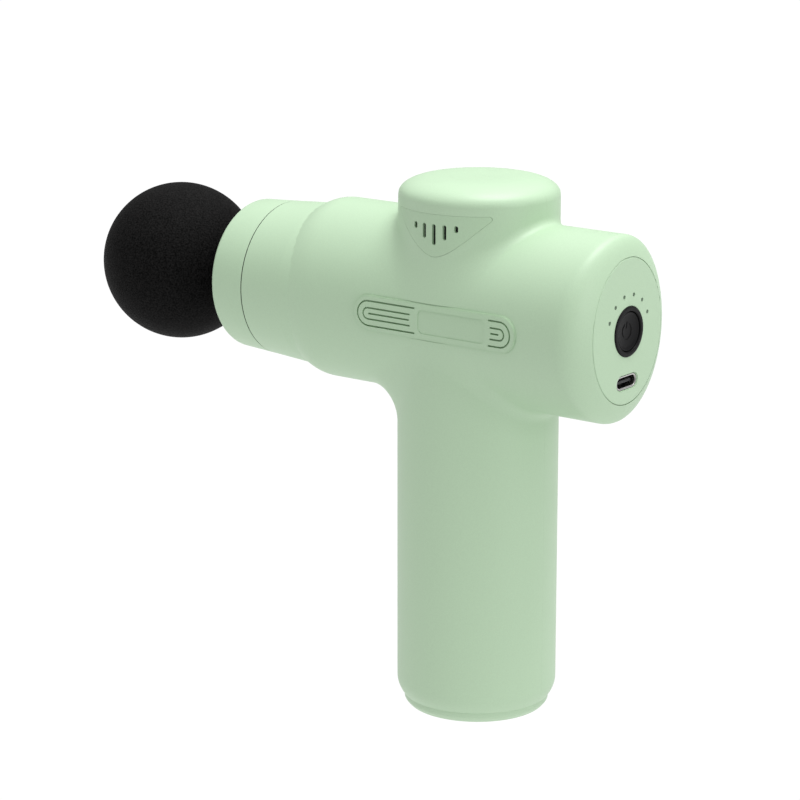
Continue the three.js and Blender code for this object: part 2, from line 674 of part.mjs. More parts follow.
function buildPlunger(parent) {
  const yokeHalfLength = BEARING_RADIUS + YOKE_PLAY + YOKE_WALL;
  const slotHalfWidth = CRANK_RADIUS + BEARING_RADIUS + 0.5;
  const yokeHalfWidth = slotHalfWidth + YOKE_WALL;
  const blank = box(
    [-yokeHalfLength, yokeHalfLength],
    [-yokeHalfWidth, yokeHalfWidth],
    [-YOKE_HALF_HEIGHT, YOKE_HALF_HEIGHT],
  );
  const slot = box(
    [-yokeHalfLength + YOKE_WALL, yokeHalfLength - YOKE_WALL],
    [-slotHalfWidth, slotHalfWidth],
    [-10, 10],
  );
  const tang = box(
    [PLUNGER_REAR_X - TANG_DEPTH - CRANK_RADIUS, -yokeHalfLength + 1],
    [-TANG_HALF_WIDTH, TANG_HALF_WIDTH],
    [-YOKE_HALF_HEIGHT, YOKE_HALF_HEIGHT],
  );
  add(parent, 'drive_yoke', cut(joined(blank, tang), slot), LOOKS.steel).position.x = CRANK_RADIUS;

  const grooveHalf = ORING_SECTION + 0.3;
  const groove = ORING_RADIUS + ORING_SECTION + 0.2;
  const plunger = turned('x', [
    [PLUNGER_FACE_X + SOCKET_DEPTH, 0],
    [PLUNGER_FACE_X + SOCKET_DEPTH, SOCKET_RADIUS],
    [ORING_X + grooveHalf, SOCKET_RADIUS],
    [ORING_X + grooveHalf, groove],
    [ORING_X - grooveHalf, groove],
    [ORING_X - grooveHalf, SOCKET_RADIUS],
    [PLUNGER_FACE_X, SOCKET_RADIUS],
    [PLUNGER_FACE_X, PLUNGER_RADIUS - 0.6],
    [PLUNGER_FACE_X + 0.6, PLUNGER_RADIUS],
    [PLUNGER_REAR_X, PLUNGER_RADIUS],
    [PLUNGER_REAR_X, 0],
  ], 20);
  const tangSlot = box(
    [PLUNGER_REAR_X - TANG_DEPTH - GAP, PLUNGER_REAR_X + 1],
    [-TANG_HALF_WIDTH - GAP, TANG_HALF_WIDTH + GAP],
    [-YOKE_HALF_HEIGHT - GAP, YOKE_HALF_HEIGHT + GAP],
  );
  add(parent, 'plunger', cut(plunger, tangSlot), LOOKS.alloy);

  const oring = new THREE.TorusGeometry(ORING_RADIUS, ORING_SECTION, 6, 16).rotateY(Math.PI / 2);
  add(parent, 'socket_oring', solid(oring), LOOKS.rubber).position.x = ORING_X;
}

function buildCrank(parent) {
  const weight = new THREE.Shape();
  weight.absarc(0, 0, 13, Math.PI / 2, Math.PI * 1.5);
  weight.absarc(0, 0, 8.5, -Math.PI / 2, Math.PI / 2);
  const shaftEnd = WHEEL_BOTTOM + 2;
  const pinEnd = WHEEL_BOTTOM + 1.6;
  const wheel = cut(
    raised(weight, WHEEL_BOTTOM, WHEEL_TOP, 8),
    rod('z', SHAFT_RADIUS + FIT, shaftEnd - 0.15, WHEEL_TOP + 1),
    rod('z', PIN_RADIUS + FIT, WHEEL_BOTTOM - 1, pinEnd + 0.15).translate([CRANK_RADIUS, 0, 0]),
  );
  add(parent, 'crank_wheel', wheel, LOOKS.steel);

  const pinFoot = -YOKE_HALF_HEIGHT;
  const pin = turned('z', [
    [pinFoot, 0],
    [pinFoot, PIN_RADIUS + 0.8],
    [pinFoot + 0.6, PIN_RADIUS + 0.8],
    [pinFoot + 0.6, PIN_RADIUS],
    [pinEnd, PIN_RADIUS],
    [pinEnd, 0],
  ], SMALL_SIDES);
  add(parent, 'crank_pin', pin, LOOKS.steel).position.x = CRANK_RADIUS;
  const bearing = ring('z', BEARING_RADIUS, PIN_RADIUS + 0.2, -2, 2, 20);
  add(parent, 'crank_bearing', bearing, LOOKS.steel).position.x = CRANK_RADIUS;
  add(parent, 'motor_shaft', rod('z', SHAFT_RADIUS, shaftEnd, FAN_BOTTOM + 3), LOOKS.steel);
}

// ---------- motor ----------

function aroundAxis(count, makePiece) {
  return Array.from({ length: count }, (_, i) => makePiece().rotate([0, 0, (360 * i) / count]));
}

function buildMotor(parent) {
  const bearingRadius = 4.5;
  const bore = bearingRadius + FIT;
  const tubeRadius = 6;
  const plate = box(
    [-FRAME_LENGTH / 2 + 0.2, FRAME_LENGTH / 2 - 0.2],
    [-FRAME_WIDTH / 2 + 0.2, FRAME_WIDTH / 2 - 0.2],
    [BRACKET_BOTTOM, BRACKET_TOP],
  );
  const screwPlaces = [[-1, -1], [1, -1], [1, 1], [-1, 1]]
    .map(([sx, sy]) => [sx * MOTOR_SCREW_X, sy * MOTOR_SCREW_Y]);
  const bracket = cut(
    joined(plate, rod('z', tubeRadius, BRACKET_TOP - 1, BEARING_TUBE_TOP, 24)),
    rod('z', bore, BRACKET_BOTTOM - 1, BEARING_TUBE_TOP + 1, 16),
    rod('x', PLUNGER_RADIUS + 0.5, -FRAME_LENGTH, PLUNGER_REAR_X + 1, SIDES),
    box([-2.6, 2.6], [CABLE_NOTCH_Y, FRAME_WIDTH], [BRACKET_BOTTOM - 1, BRACKET_TOP + 1]),
    ...screwPlaces.map(([x, y]) => (
      rod('z', 1.35, BRACKET_BOTTOM - 1, BRACKET_TOP + 1, 8).translate([x, y, 0]))),
  );
  add(parent, 'motor_bracket', bracket, LOOKS.alloy);
  screwPlaces.forEach(([x, y], i) => {
    const mesh = add(parent, `motor_screw_${i + 1}`, screw(1.9, 1.4, 1.05, 7.2), LOOKS.steel);
    mesh.position.set(x, y, BRACKET_TOP + 0.1);
  });

  [['motor_bearing_lower', BRACKET_BOTTOM + 0.2], ['motor_bearing_upper', BEARING_TUBE_TOP - 2.8]]
    .forEach(([name, bottom]) => {
      const race = ring('z', bearingRadius, SHAFT_RADIUS + 0.1, bottom, bottom + 2.5, 16);
      add(parent, name, race, LOOKS.steel);
    });

  const stackBottom = CAN_BOTTOM + 2.5;
  const stackTop = CAN_BOTTOM + 10.5;
  const teeth = aroundAxis(TOOTH_COUNT, () => joined(
    box([8, 12.8], [-1.2, 1.2], [stackBottom, stackTop]),
    box([12.3, 13.5], [-3.2, 3.2], [stackBottom, stackTop]),
  ));
  const hub = ring('z', 8.6, tubeRadius + FIT, stackBottom, stackTop);
  add(parent, 'motor_stator', joined(hub, ...teeth), LOOKS.steel);
  const slots = aroundAxis(TOOTH_COUNT, () => (
    box([8, 13], [-1.5, 1.5], [stackBottom - GAP, stackTop + GAP])));
  const coils = ring('z', 12, 8.9, CAN_BOTTOM + 1.2, CAN_BOTTOM + 11.8);
  add(parent, 'stator_windings', cut(coils, ...slots), LOOKS.copper);

  const can = turned('z', [
    [CAN_BOTTOM, CAN_RADIUS - 1.1],
    [CAN_BOTTOM, CAN_RADIUS],
    [CAN_TOP, CAN_RADIUS],
    [CAN_TOP, SHAFT_RADIUS + 0.1],
    [CAN_TOP - 1.2, SHAFT_RADIUS + 0.1],
    [CAN_TOP - 1.2, CAN_RADIUS - 1.1],
    [CAN_BOTTOM, CAN_RADIUS - 1.1],
  ]);
  add(parent, 'rotor_can', can, LOOKS.steel);
  const magnets = ring('z', CAN_RADIUS - 1.1 - FIT, 14.2, CAN_BOTTOM + 1, CAN_TOP - 2);
  add(parent, 'rotor_magnets', magnets, LOOKS.steel);

  const disc = ring('z', 15, SHAFT_RADIUS + 0.1, FAN_BOTTOM, FAN_BOTTOM + 0.9);
  const fanHub = ring('z', 5, SHAFT_RADIUS + 0.1, FAN_BOTTOM, FAN_BOTTOM + 3.2);
  const blades = aroundAxis(BLADE_COUNT, () => (
    box([0, 9], [-0.4, 0.4], [FAN_BOTTOM + 0.5, FAN_BOTTOM + 3.2])
      .rotate([0, 0, 30]).translate([5.6, 0, 0])));
  add(parent, 'cooling_fan', joined(disc, fanHub, ...blades), LOOKS.black);
}

// ---------- head ----------

function buildHead(parent) {
  const start = PLUNGER_FACE_X - GAP;
  const seat = BALL_X + Math.sqrt(BALL_RADIUS ** 2 - COLLAR_RADIUS ** 2) - 1;
  const spigotEnd = BALL_X + 2;
  const stem = turned('x', [
    [start + SHANK_LENGTH, 0],
    [start + SHANK_LENGTH, SHANK_RADIUS - 0.8],
    [start + SHANK_LENGTH - 0.8, SHANK_RADIUS],
    [start, SHANK_RADIUS],
    [start, COLLAR_RADIUS],
    [seat, COLLAR_RADIUS],
    [seat, SPIGOT_RADIUS],
    [spigotEnd, SPIGOT_RADIUS],
    [spigotEnd, 0],
  ], 20);
  add(parent, 'head_stem', stem, LOOKS.black);

  const sphere = solid(new THREE.SphereGeometry(BALL_RADIUS, 24, 12).rotateZ(-Math.PI / 2));
  const ball = cut(
    sphere.translate([BALL_X, 0, 0]),
    rod('x', COLLAR_RADIUS + GAP, seat - GAP, start, 20),
    rod('x', SPIGOT_RADIUS + GAP, spigotEnd - GAP, start, 20),
  );
  add(parent, 'massage_ball', ball, LOOKS.foam);
}

// ---------- grip: base, battery pack and driver board ----------

function buildBase(parent) {
  const plate = turned('z', [
    [0, 0],
    [0, BASE_FLAT_RADIUS],
    [0.5, BASE_FLAT_RADIUS + 1.1],
    [1.5, BASE_RADIUS - 0.1],
    [GRIP_EDGE_Z - GAP, BASE_RADIUS],
    [GRIP_EDGE_Z - GAP, GRIP_RADIUS - WALL - 0.2],
    [8, GRIP_RADIUS - WALL - 0.2],
    [8, 17],
    [GRIP_EDGE_Z, 17],
    [GRIP_EDGE_Z, 0],
  ]);
  const holes = [-BASE_SCREW_X, BASE_SCREW_X].flatMap((x) => [
    rod('z', 2.5, -1, 1.3).translate([x, 0, 0]),
    rod('z', 1.3, -1, 5, 8).translate([x, 0, 0]),
  ]);
  add(parent, 'base_cap', cut(plate, ...holes), LOOKS.mint);
  [-BASE_SCREW_X, BASE_SCREW_X].forEach((x, i) => {
    const mesh = add(parent, `base_cap_screw_${i + 1}`, screw(2.2, 0.9, 1, 9), LOOKS.steel);
    mesh.rotation.x = Math.PI;
    mesh.position.set(x, 0, 1.15);
  });
}

function buildBattery(parent) {
  const bottomPlate = [CELL_BOTTOM_Z - GAP - HOLDER_THICKNESS, CELL_BOTTOM_Z - GAP];
  const stripZ = CELL_BOTTOM_Z + CELL_LENGTH + GAP;
  const topPlate = [stripZ + 0.8, stripZ + 0.8 + HOLDER_THICKNESS];
  const board = { y: [11.2, 12.8], z: [bottomPlate[0] + 1.5, topPlate[1] - 1.5] };
  const outline = stadium(2 * CELL_RADIUS + CELL_SPACING, 2 * CELL_RADIUS + 1.4);

  const boardSlot = box(
    [-BOARD_HALF_WIDTH - GAP, BOARD_HALF_WIDTH + GAP],
    [board.y[0] - GAP, board.y[1] + GAP],
    [board.z[0] - GAP, board.z[1] + GAP],
  );
  const plateWithEar = ([bottom, top]) => (
    joined(raised(outline, bottom, top), box([-6, 6], [8, 14.4], [bottom, top])));
  const screwPosts = [-BASE_SCREW_X, BASE_SCREW_X].map((x) => (
    rod('z', 2.6, GRIP_EDGE_Z + GAP, bottomPlate[0] + 1).translate([x, 0, 0])));
  const screwHoles = [-BASE_SCREW_X, BASE_SCREW_X].map((x) => (
    rod('z', 1.2, 2, 20, 8).translate([x, 0, 0])));
  const bottomHolder = cut(joined(plateWithEar(bottomPlate), ...screwPosts), ...screwHoles, boardSlot);
  add(parent, 'battery_holder_bottom', bottomHolder, LOOKS.nylon);
  add(parent, 'battery_holder_top', cut(plateWithEar(topPlate), boardSlot), LOOKS.nylon);

  const cell = turned('z', [
    [0, 0],
    [0, CELL_RADIUS - 0.5],
    [0.5, CELL_RADIUS],
    [CELL_LENGTH - 1.2, CELL_RADIUS],
    [CELL_LENGTH - 0.7, CELL_RADIUS - 0.5],
    [CELL_LENGTH - 0.7, 3],
    [CELL_LENGTH, 3],
    [CELL_LENGTH, 0],
  ], 20);
  [-1, 1].forEach((sign, i) => {
    const mesh = add(parent, `battery_cell_${i + 1}`, cell, LOOKS.cell);
    mesh.position.set((sign * CELL_SPACING) / 2, 0, CELL_BOTTOM_Z);
  });
  const strip = raised(stadium(CELL_SPACING + 6, 6), stripZ, stripZ + 0.4);
  add(parent, 'nickel_strip', strip, LOOKS.alloy);

  const chips = [[-8, 0, 30, 38], [2, 9, 44, 51], [-6, 6, 58, 64]].map(([x0, x1, z0, z1]) => (
    box([x0, x1], [board.y[1] - 0.2, board.y[1] + 1.4], [z0, z1])));
  const plate = box([-BOARD_HALF_WIDTH, BOARD_HALF_WIDTH], board.y, board.z);
  add(parent, 'driver_board', joined(plate, ...chips), LOOKS.board);

  [['battery_lead_positive', 1, LOOKS.red], ['battery_lead_negative', -1, LOOKS.black]]
    .forEach(([name, sign, look]) => {
      const route = [[0.95, 7.6, 12.2], [0.95, 8, 18], [1.4, 9, 23], [3, 10.3, 27]];
      const lead = tube(route.map(([x, y, z]) => [sign * x, y, z]), roundSection(0.65), 8);
      add(parent, name, lead, look);
    });
}

// The lead from the driver board up to the motor, and the one to the control board.
function buildCables(parent) {
  const flatSection = new THREE.Shape();
  flatSection.moveTo(-1.7, -0.5);
  flatSection.lineTo(1.7, -0.5);
  flatSection.lineTo(1.7, 0.5);
  flatSection.lineTo(-1.7, 0.5);
  const motorRoute = [
    [0, 13.6, 68], [0, 15, 74], [0, 15.8, 80], [0, 16.8, 88], [0, 17.3, 97],
    [0, 17.3, 106], [0, 17.3, 114], [0, 16.6, 117.4], [0, 14.4, 118.3], [0, 10, 118.3],
  ];
  add(parent, 'motor_cable', tube(motorRoute, flatSection, 22), LOOKS.black);
  const signalRoute = [
    [8.5, 14.2, 64], [9, 15, 72], [9.5, 14.6, 80], [10.5, 12, 88], [15, 6, 94],
    [22, 1, 95.5], [29, 0, 97.5], [35.2, 0, 101],
  ];
  add(parent, 'signal_cable', tube(signalRoute, roundSection(0.8), 20), LOOKS.black);
}

// ---------- assembly ----------

const group = new THREE.Group();
buildCasing(group);
buildVent(group, 'vent_left', -1);
buildVent(group, 'vent_right', 1);
buildBase(group);
buildBattery(group);
buildCables(group);

const barrel = new THREE.Group();
barrel.position.z = BARREL_AXIS_Z;
group.add(barrel);
buildBadge(barrel, 'badge_left', -1);
buildBadge(barrel, 'badge_right', 1);
buildCasingScrews(barrel);
buildNose(barrel);
buildRearPanel(barrel);
buildButton(barrel);
buildLights(barrel);
buildPort(barrel);
buildControlBoard(barrel);
buildFrame(barrel);
buildSleeve(barrel);
buildPlunger(barrel);
buildCrank(barrel);
buildMotor(barrel);
buildHead(barrel);

export default group;
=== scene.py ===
# A mini massage gun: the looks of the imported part, in its own frame.
# Lengths are millimetres until a mesh is made. +Z is up and the nose points towards -X.

import json
import math

import bmesh
import bpy
import numpy as np
from mathutils import Matrix, Vector


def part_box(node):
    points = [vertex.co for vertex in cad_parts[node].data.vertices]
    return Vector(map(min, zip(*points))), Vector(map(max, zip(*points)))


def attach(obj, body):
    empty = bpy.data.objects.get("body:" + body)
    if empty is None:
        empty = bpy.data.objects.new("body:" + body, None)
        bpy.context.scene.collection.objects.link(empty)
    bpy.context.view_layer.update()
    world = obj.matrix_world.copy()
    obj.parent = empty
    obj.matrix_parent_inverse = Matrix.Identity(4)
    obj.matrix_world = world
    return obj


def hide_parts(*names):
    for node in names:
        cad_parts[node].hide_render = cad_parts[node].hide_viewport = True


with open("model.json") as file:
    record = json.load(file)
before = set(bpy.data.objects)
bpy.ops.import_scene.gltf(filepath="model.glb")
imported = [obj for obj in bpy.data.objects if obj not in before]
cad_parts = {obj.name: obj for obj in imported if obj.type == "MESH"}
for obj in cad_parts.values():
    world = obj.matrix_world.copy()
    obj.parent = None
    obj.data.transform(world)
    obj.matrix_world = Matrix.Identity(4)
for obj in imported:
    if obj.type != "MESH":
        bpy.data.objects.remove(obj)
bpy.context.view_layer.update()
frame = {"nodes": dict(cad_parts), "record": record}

MM = 0.001


def span(node):
    """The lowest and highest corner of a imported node."""
    low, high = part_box(node)
    return np.array(low) / MM, np.array(high) / MM


# ---------- driving dimensions ----------

CASING_LOW, CASING_HIGH = span("casing_left")
AXIS_Z = float(sum(span("plunger"))[2] / 2)

# casing
WALL = 2.2
SEAM = 0.015  # between the two halves
BARREL_HALF_HEIGHT = 24.3
BARREL_HALF_WIDTH = 22.4
NOSE_SEAM_X = float(CASING_LOW[0])
NOSE_SEAM_RADIUS = 21.0
SHOULDER_X = -50.0
SHOULDER_RADIUS = 21.9
SHOULDER_LENGTH = 7.5
SHOULDER_POWER = 2.2
SHOULDER_LAG = 4.0  # how much further back the step starts at the barrel's sides
REAR_EDGE_X = float(CASING_HIGH[0])
REAR_TOP_CORNER = 4.2
REAR_SIDE_CORNER = 8.0
REAR_CORNER_POWER = 2.6
REAR_CROWN = 0.4
PANEL_HALF_HEIGHT = 19.0
PANEL_HALF_WIDTH = 15.8
CAVITY_END_X = 41.5
PANEL_SEAT_X = 43.8
PANEL_LEDGE = 1.8
GRIP_RADIUS = 21.2
GRIP_EDGE_Z = float(CASING_LOW[2])
GRIP_CURVE_HEIGHT = 4.5
GRIP_CURVE_DRAW = 1.7
GRIP_NOSE_FILLET = 9.0
GRIP_REAR_FILLET = 3.5
GRIP_SIDE_FILLET = 2.0
DOME_RADIUS = 21.0
DOME_TOP_Z = float(CASING_HIGH[2])
DOME_EDGE_HEIGHT = 4.8
DOME_POWER = 4.4
DOME_FILLET = 2.0
DOME_SIDE_FILLET = 3.2

# nose ring and its seal
NOSE_GAP = 0.35  # between the ring and the casing, where the dark ring that paints the seam's shade shows
NOSE_RIM_RADIUS = 20.3
NOSE_RIM_ROUNDING = 1.6
NOSE_LIP = 2.5
NOSE_INNER_RADIUS = 16.5
NOSE_BORE_RADIUS = 11.8
NOSE_SPIGOT_LENGTH = 6.0
NOSE_FLANGE_RADIUS = 18.2
SEAL_RADIUS = 15.5
SEAL_GAP = 0.35  # between the seal and the plunger

# badges
BADGE_CENTRE_X = 1.75
BADGE_LENGTH = 51.4
BADGE_HEIGHT = 9.8
BADGE_SEAT_DEPTH = 0.9
BADGE_PROUD = 0.5
GROOVE_WIDTH = 0.45
GROOVE_DEPTH = 0.8
# Length and height of each U ring, with the X where its left part ends and its right part starts.
GROOVE_RINGS = ((48.4, 7.0, -4.0, 19.0), (44.8, 3.4, -5.4, 19.6))
GROOVE_MIDDLE_LINES = ((-18.8, -5.6), (19.8, 22.4))
BLANK_START_X = -2.9
BLANK_END_X = 17.9
BLANK_HEIGHT = 6.2
BLANK_CORNER = 1.4
BLANK_DEPTH = 0.15
CASING_SCREW_X = (-14.0, 17.0)
SCREW_BOSS_RADIUS = 3.2
SCREW_SINK_RADIUS = 2.6
SCREW_HOLE_RADIUS = 1.3

# vents
VENT_CENTRE_X = 0.8
VENT_TOP_Z = 136.0
VENT_ABOVE_FOOT = 8.4
VENT_RISE = 0.08
VENT_CORNER = 1.5
VENT_THICKNESS = 0.9
VENT_SLOT_TOP_Z = 133.4
VENT_SLOT_WIDTH = 1.1
VENT_SLOT_SPACING = 3.05
VENT_SLOT_LENGTHS = (1.8, 3.9, 5.4, 3.9, 1.8)
VENT_RIM = 1.2

# controls
BEZEL_RADIUS = 6.5
BEZEL_PROUD = 0.3
BUTTON_RADIUS = 5.1
BUTTON_GAP = 0.12
DISH_RADIUS = 4.3
DISH_DEPTH = 0.6
SIGN_DEPTH = 0.12
SIGN_INNER_RADIUS = 1.7
SIGN_OUTER_RADIUS = 2.25
LIGHT_RING_RADIUS = 9.4
LIGHT_COUNT = 6
LIGHT_SPACING = math.radians(27)
LIGHT_RADIUS = 0.45
LIGHT_GUIDE_HALF_WIDTH = 0.9
PORT_Z = float(sum(span("usb_c_shell"))[2] / 2) - AXIS_Z
PORT_WIDTH = 9.1
PORT_HEIGHT = 3.5
CONTACTS_PER_SIDE = 12
CONTACT_SPACING = 0.5

# head
BALL_LOW, BALL_HIGH = span("massage_ball")
BALL_RADIUS = float(BALL_HIGH[1] - BALL_LOW[1]) / 2
BALL_X = float(BALL_LOW[0]) + BALL_RADIUS
STEM_LOW, STEM_HIGH = span("head_stem")
COLLAR_RADIUS = 7.8
NECK_RADIUS = 5.9
SHANK_RADIUS = 5.2
SHANK_LENGTH = 17.0
PLUNGER_LOW, PLUNGER_HIGH = span("plunger")
PLUNGER_RADIUS = float(PLUNGER_HIGH[2] - PLUNGER_LOW[2]) / 2
SOCKET_RADIUS = 5.6
SOCKET_DEPTH = 23.0
ORING_GROOVE_RADIUS = 7.02
ORING_GROOVE_HALF_WIDTH = 0.92

# base
BASE_RADIUS = 19.3
BASE_FLAT_RADIUS = 17.4
BASE_GAP = 0.05
BASE_SPIGOT_TOP_Z = 8.0
BASE_SPIGOT_INNER_RADIUS = 17.0
BASE_SCREW_X = 13.0
SCREW_HEAD_RADIUS = 2.2
SCREW_HEAD_HEIGHT = 0.9
SCREW_SHANK_RADIUS = 1.0

# Where cutters start and end: along Y outwards from inside the wall, and along X through the rear.
SIDE_CUT = (5, 24)
BADGE_CUT = (20, 26)
REAR_CUT = (40, 50)

# the grid that the casing's surface is made on
CELL = 1.0
FINE_CELL = 0.5
HOLLOW_CELL = 2.0

# view, in metres and radians
VIEW_AZIMUTH = math.radians(37)
VIEW_ELEVATION = math.radians(14.311)
VIEW_DISTANCE = 0.803558
VIEW_AIM = (-0.025688, 0, 0.079189)


# ---------- meshes ----------

def mesh_object(name, points, faces):
    mesh = bpy.data.meshes.new(name)
    mesh.from_pydata((np.asarray(points, float) * MM).tolist(), [], [list(f) for f in faces])
    mesh.update()
    obj = bpy.data.objects.new(name, mesh)
    bpy.context.scene.collection.objects.link(obj)
    return obj


def face_outwards(obj):
    work = bmesh.new()
    work.from_mesh(obj.data)
    bmesh.ops.recalc_face_normals(work, faces=work.faces)
    work.to_mesh(obj.data)
    work.free()
    return obj


def shade(obj, angle=35):
    """Smooth shading that breaks at edges sharper than the angle."""
    obj.data.shade_smooth()
    obj.data.set_sharp_from_angle(angle=math.radians(angle))
    return obj


def eased(points, steps=6):
    """Rounds the corners of a closed outline of (u, v, corner radius) with arcs."""
    corners = [np.array(point[:2], float) for point in points]
    result = []
    for i, corner in enumerate(corners):
        radius = points[i][2] if len(points[i]) > 2 else 0
        if radius == 0:
            result.append(corner)
            continue
        back = corners[i - 1] - corner
        ahead = corners[(i + 1) % len(corners)] - corner
        room = 0.49 * min(np.linalg.norm(back), np.linalg.norm(ahead))
        back /= np.linalg.norm(back)
        ahead /= np.linalg.norm(ahead)
        half = math.acos(np.clip(back @ ahead, -1, 1)) / 2
        reach = min(radius / math.tan(half), room)
        for t in np.linspace(0, 1, steps + 1):
            weights = np.array([(1 - t) ** 2, 2 * math.sin(half) * t * (1 - t), t ** 2])
            weights /= weights.sum()
            result.append(corner + back * reach * weights[0] + ahead * reach * weights[2])
    return result


def placed(axis, along, across, up):
    """A point along an axis: across runs sideways and up runs upwards, or both level for axis z."""
    if axis == "x":
        return (along, across, up)
    if axis == "y":
        return (across, along, up)
    return (across, up, along)


def lathe(name, axis, outline, sides=96):
    """A solid of revolution of a closed outline of (place along the axis, radius, corner radius)."""
    outline = eased(outline)
    rings = []
    points = []
    for along, radius in outline:
        count = sides if radius > 1e-6 else 1
        rings.append((len(points), count))
        for i in range(count):
            angle = 2 * math.pi * i / sides
            points.append(placed(axis, along, radius * math.cos(angle), radius * math.sin(angle)))
    faces = []
    for i, (start, count) in enumerate(rings):
        next_start, next_count = rings[(i + 1) % len(rings)]
        for k in range(sides):
            k2 = (k + 1) % sides
            if count > 1 and next_count > 1:
                faces.append((start + k, start + k2, next_start + k2, next_start + k))
            elif count > 1:
                faces.append((start + k, start + k2, next_start))
            elif next_count > 1:
                faces.append((start, next_start + k2, next_start + k))
    return face_outwards(mesh_object(name, points, faces))


def rod(name, axis, radius, start, end, centre=(0, 0), sides=48):
    obj = lathe(name, axis, [(start, 0), (start, radius), (end, radius), (end, 0)], sides)
    offset = placed(axis, 0, *centre)
    obj.data.transform(Matrix.Translation(Vector(offset) * MM))
    return obj


def prism(name, axis, outline, start, end):
    """A straight solid of an outline of (across, up) from start to end along an axis."""
    count = len(outline)
    points = [placed(axis, along, *point) for along in (start, end) for point in outline]
    faces = [range(count), range(2 * count - 1, count - 1, -1)]
    faces += [(i, (i + 1) % count, count + (i + 1) % count, count + i) for i in range(count)]
    return face_outwards(mesh_object(name, points, faces))


def cuboid(name, x, y, z):
    return prism(name, "z", [(x[0], y[0]), (x[1], y[0]), (x[1], y[1]), (x[0], y[1])], *z)


def stadium(length, width, centre=(0, 0), steps=16):
    """A slot outline with round ends, longer across than up, or the other way round."""
    half = min(length, width) / 2
    reach = max(length, width) / 2 - half
    points = []
    for end in (0, 1):
        for i in range(steps + 1):
            angle = math.pi * (end + i / steps) - math.pi / 2
            centre_u = reach if end == 0 else -reach
            points.append((centre_u + half * math.cos(angle), half * math.sin(angle)))
    if width > length:
        points = [(-v, u) for u, v in points]
    return [(u + centre[0], v + centre[1]) for u, v in points]


def combine(obj, operation, *tools, keep=()):
    """Joins, cuts or crosses a closed mesh with others, which are then removed unless kept.

    Blender leaves the mesh as it was, with only a warning, when one of them isn't closed.
    """
    for tool in tools:
        modifier = obj.modifiers.new(operation, "BOOLEAN")
        modifier.operation = operation
        modifier.solver = "MANIFOLD"
        modifier.object = tool
        graph = bpy.context.evaluated_depsgraph_get()
        result = bpy.data.meshes.new_from_object(obj.evaluated_get(graph))
        obj.modifiers.clear()
        obj.data = result
        if tool not in keep:
            bpy.data.objects.remove(tool)
    if len(obj.data.polygons) == 0:
        raise ValueError(f"{obj.name} came out empty after {operation}")
    return obj


def raise_to_axis(*objects):
    """Moves pieces made around the origin up to the barrel's axis."""
    for obj in objects:
        obj.data.transform(Matrix.Translation((0, 0, AXIS_Z * MM)))


def narrowed(obj):
    """Makes a round piece as oval as the rear panel."""
    obj.data.transform(Matrix.Diagonal((1, PANEL_HALF_WIDTH / PANEL_HALF_HEIGHT, 1, 1)))
    return obj


def copied(obj, name):
    twin = obj.copy()
    twin.data = obj.data.copy()
    twin.name = name
    bpy.context.scene.collection.objects.link(twin)
    return twin


# ---------- the casing's surface, as a distance field ----------

def mix(a, b, share):
    return a + (b - a) * share


def eased_step(value):
    """Climbs smoothly from 0 to 1 as the value goes from 0 to 1."""
    share = np.clip(value, 0, 1)
    return share ** 2 * (3 - 2 * share)


def barrel_size(x, lag):
    """Half-height and half-width of the barrel along X, with the step behind the nose."""
    slope = (SHOULDER_RADIUS - NOSE_SEAM_RADIUS) / (SHOULDER_X - NOSE_SEAM_X)
    taper = SHOULDER_RADIUS + slope * np.minimum(x - SHOULDER_X, 0)
    climb = np.clip((x - SHOULDER_X - lag) / SHOULDER_LENGTH, 0, 1)
    rise = 1 - (1 - climb) ** SHOULDER_POWER
    high = taper + (BARREL_HALF_HEIGHT - SHOULDER_RADIUS) * rise
    wide = taper + (BARREL_HALF_WIDTH - SHOULDER_RADIUS) * rise
    return high, wide


def barrel_field(x, y, z):
    radius = np.hypot(y, z) + 1e-6
    to_side = (y / radius) ** 2
    high, wide = barrel_size(x, SHOULDER_LAG * to_side)
    edge = radius / np.hypot(y / wide, z / high + 1e-9)
    panel = radius / np.hypot(y / PANEL_HALF_WIDTH, z / PANEL_HALF_HEIGHT + 1e-9)
    corner = mix(REAR_TOP_CORNER, REAR_SIDE_CORNER, to_side)
    along = np.maximum(x - REAR_EDGE_X + corner, 0) / corner
    across = np.maximum(radius - panel, 0) / (edge - panel)
    return (along ** REAR_CORNER_POWER + across - 1) * (edge - panel)


def grip_field(x, y, z):
    climb = np.clip(1 - (z + AXIS_Z - GRIP_EDGE_Z) / GRIP_CURVE_HEIGHT, 0, 1.5)
    radius = GRIP_RADIUS - GRIP_CURVE_DRAW * climb ** 2
    return np.maximum(np.hypot(x, y) - radius, z)


def dome_field(x, y, z):
    up = np.maximum(z + AXIS_Z - DOME_TOP_Z + DOME_EDGE_HEIGHT, 0) / DOME_EDGE_HEIGHT
    out = np.hypot(x, y) / DOME_RADIUS
    size = (out ** DOME_POWER + up ** 2) ** (1 / DOME_POWER)
    return np.maximum((size - 1) * DOME_RADIUS, -z)


def round_union(a, b, radius):
    """Two distance fields joined with a fillet."""
    inside = np.hypot(np.maximum(radius - a, 0), np.maximum(radius - b, 0))
    return np.maximum(radius, np.minimum(a, b)) - inside


def casing_field(points):
    x, y, z = points[..., 0], points[..., 1], points[..., 2] - AXIS_Z
    to_side = eased_step((np.abs(y) / GRIP_RADIUS - 0.6) / 0.4)
    grip_fillet = mix(GRIP_REAR_FILLET, GRIP_NOSE_FILLET, eased_step(0.5 - x / GRIP_RADIUS))
    grip_fillet = mix(grip_fillet, GRIP_SIDE_FILLET, to_side)
    body = round_union(barrel_field(x, y, z), grip_field(x, y, z), grip_fillet)
    return round_union(body, dome_field(x, y, z), mix(DOME_FILLET, DOME_SIDE_FILLET, to_side))


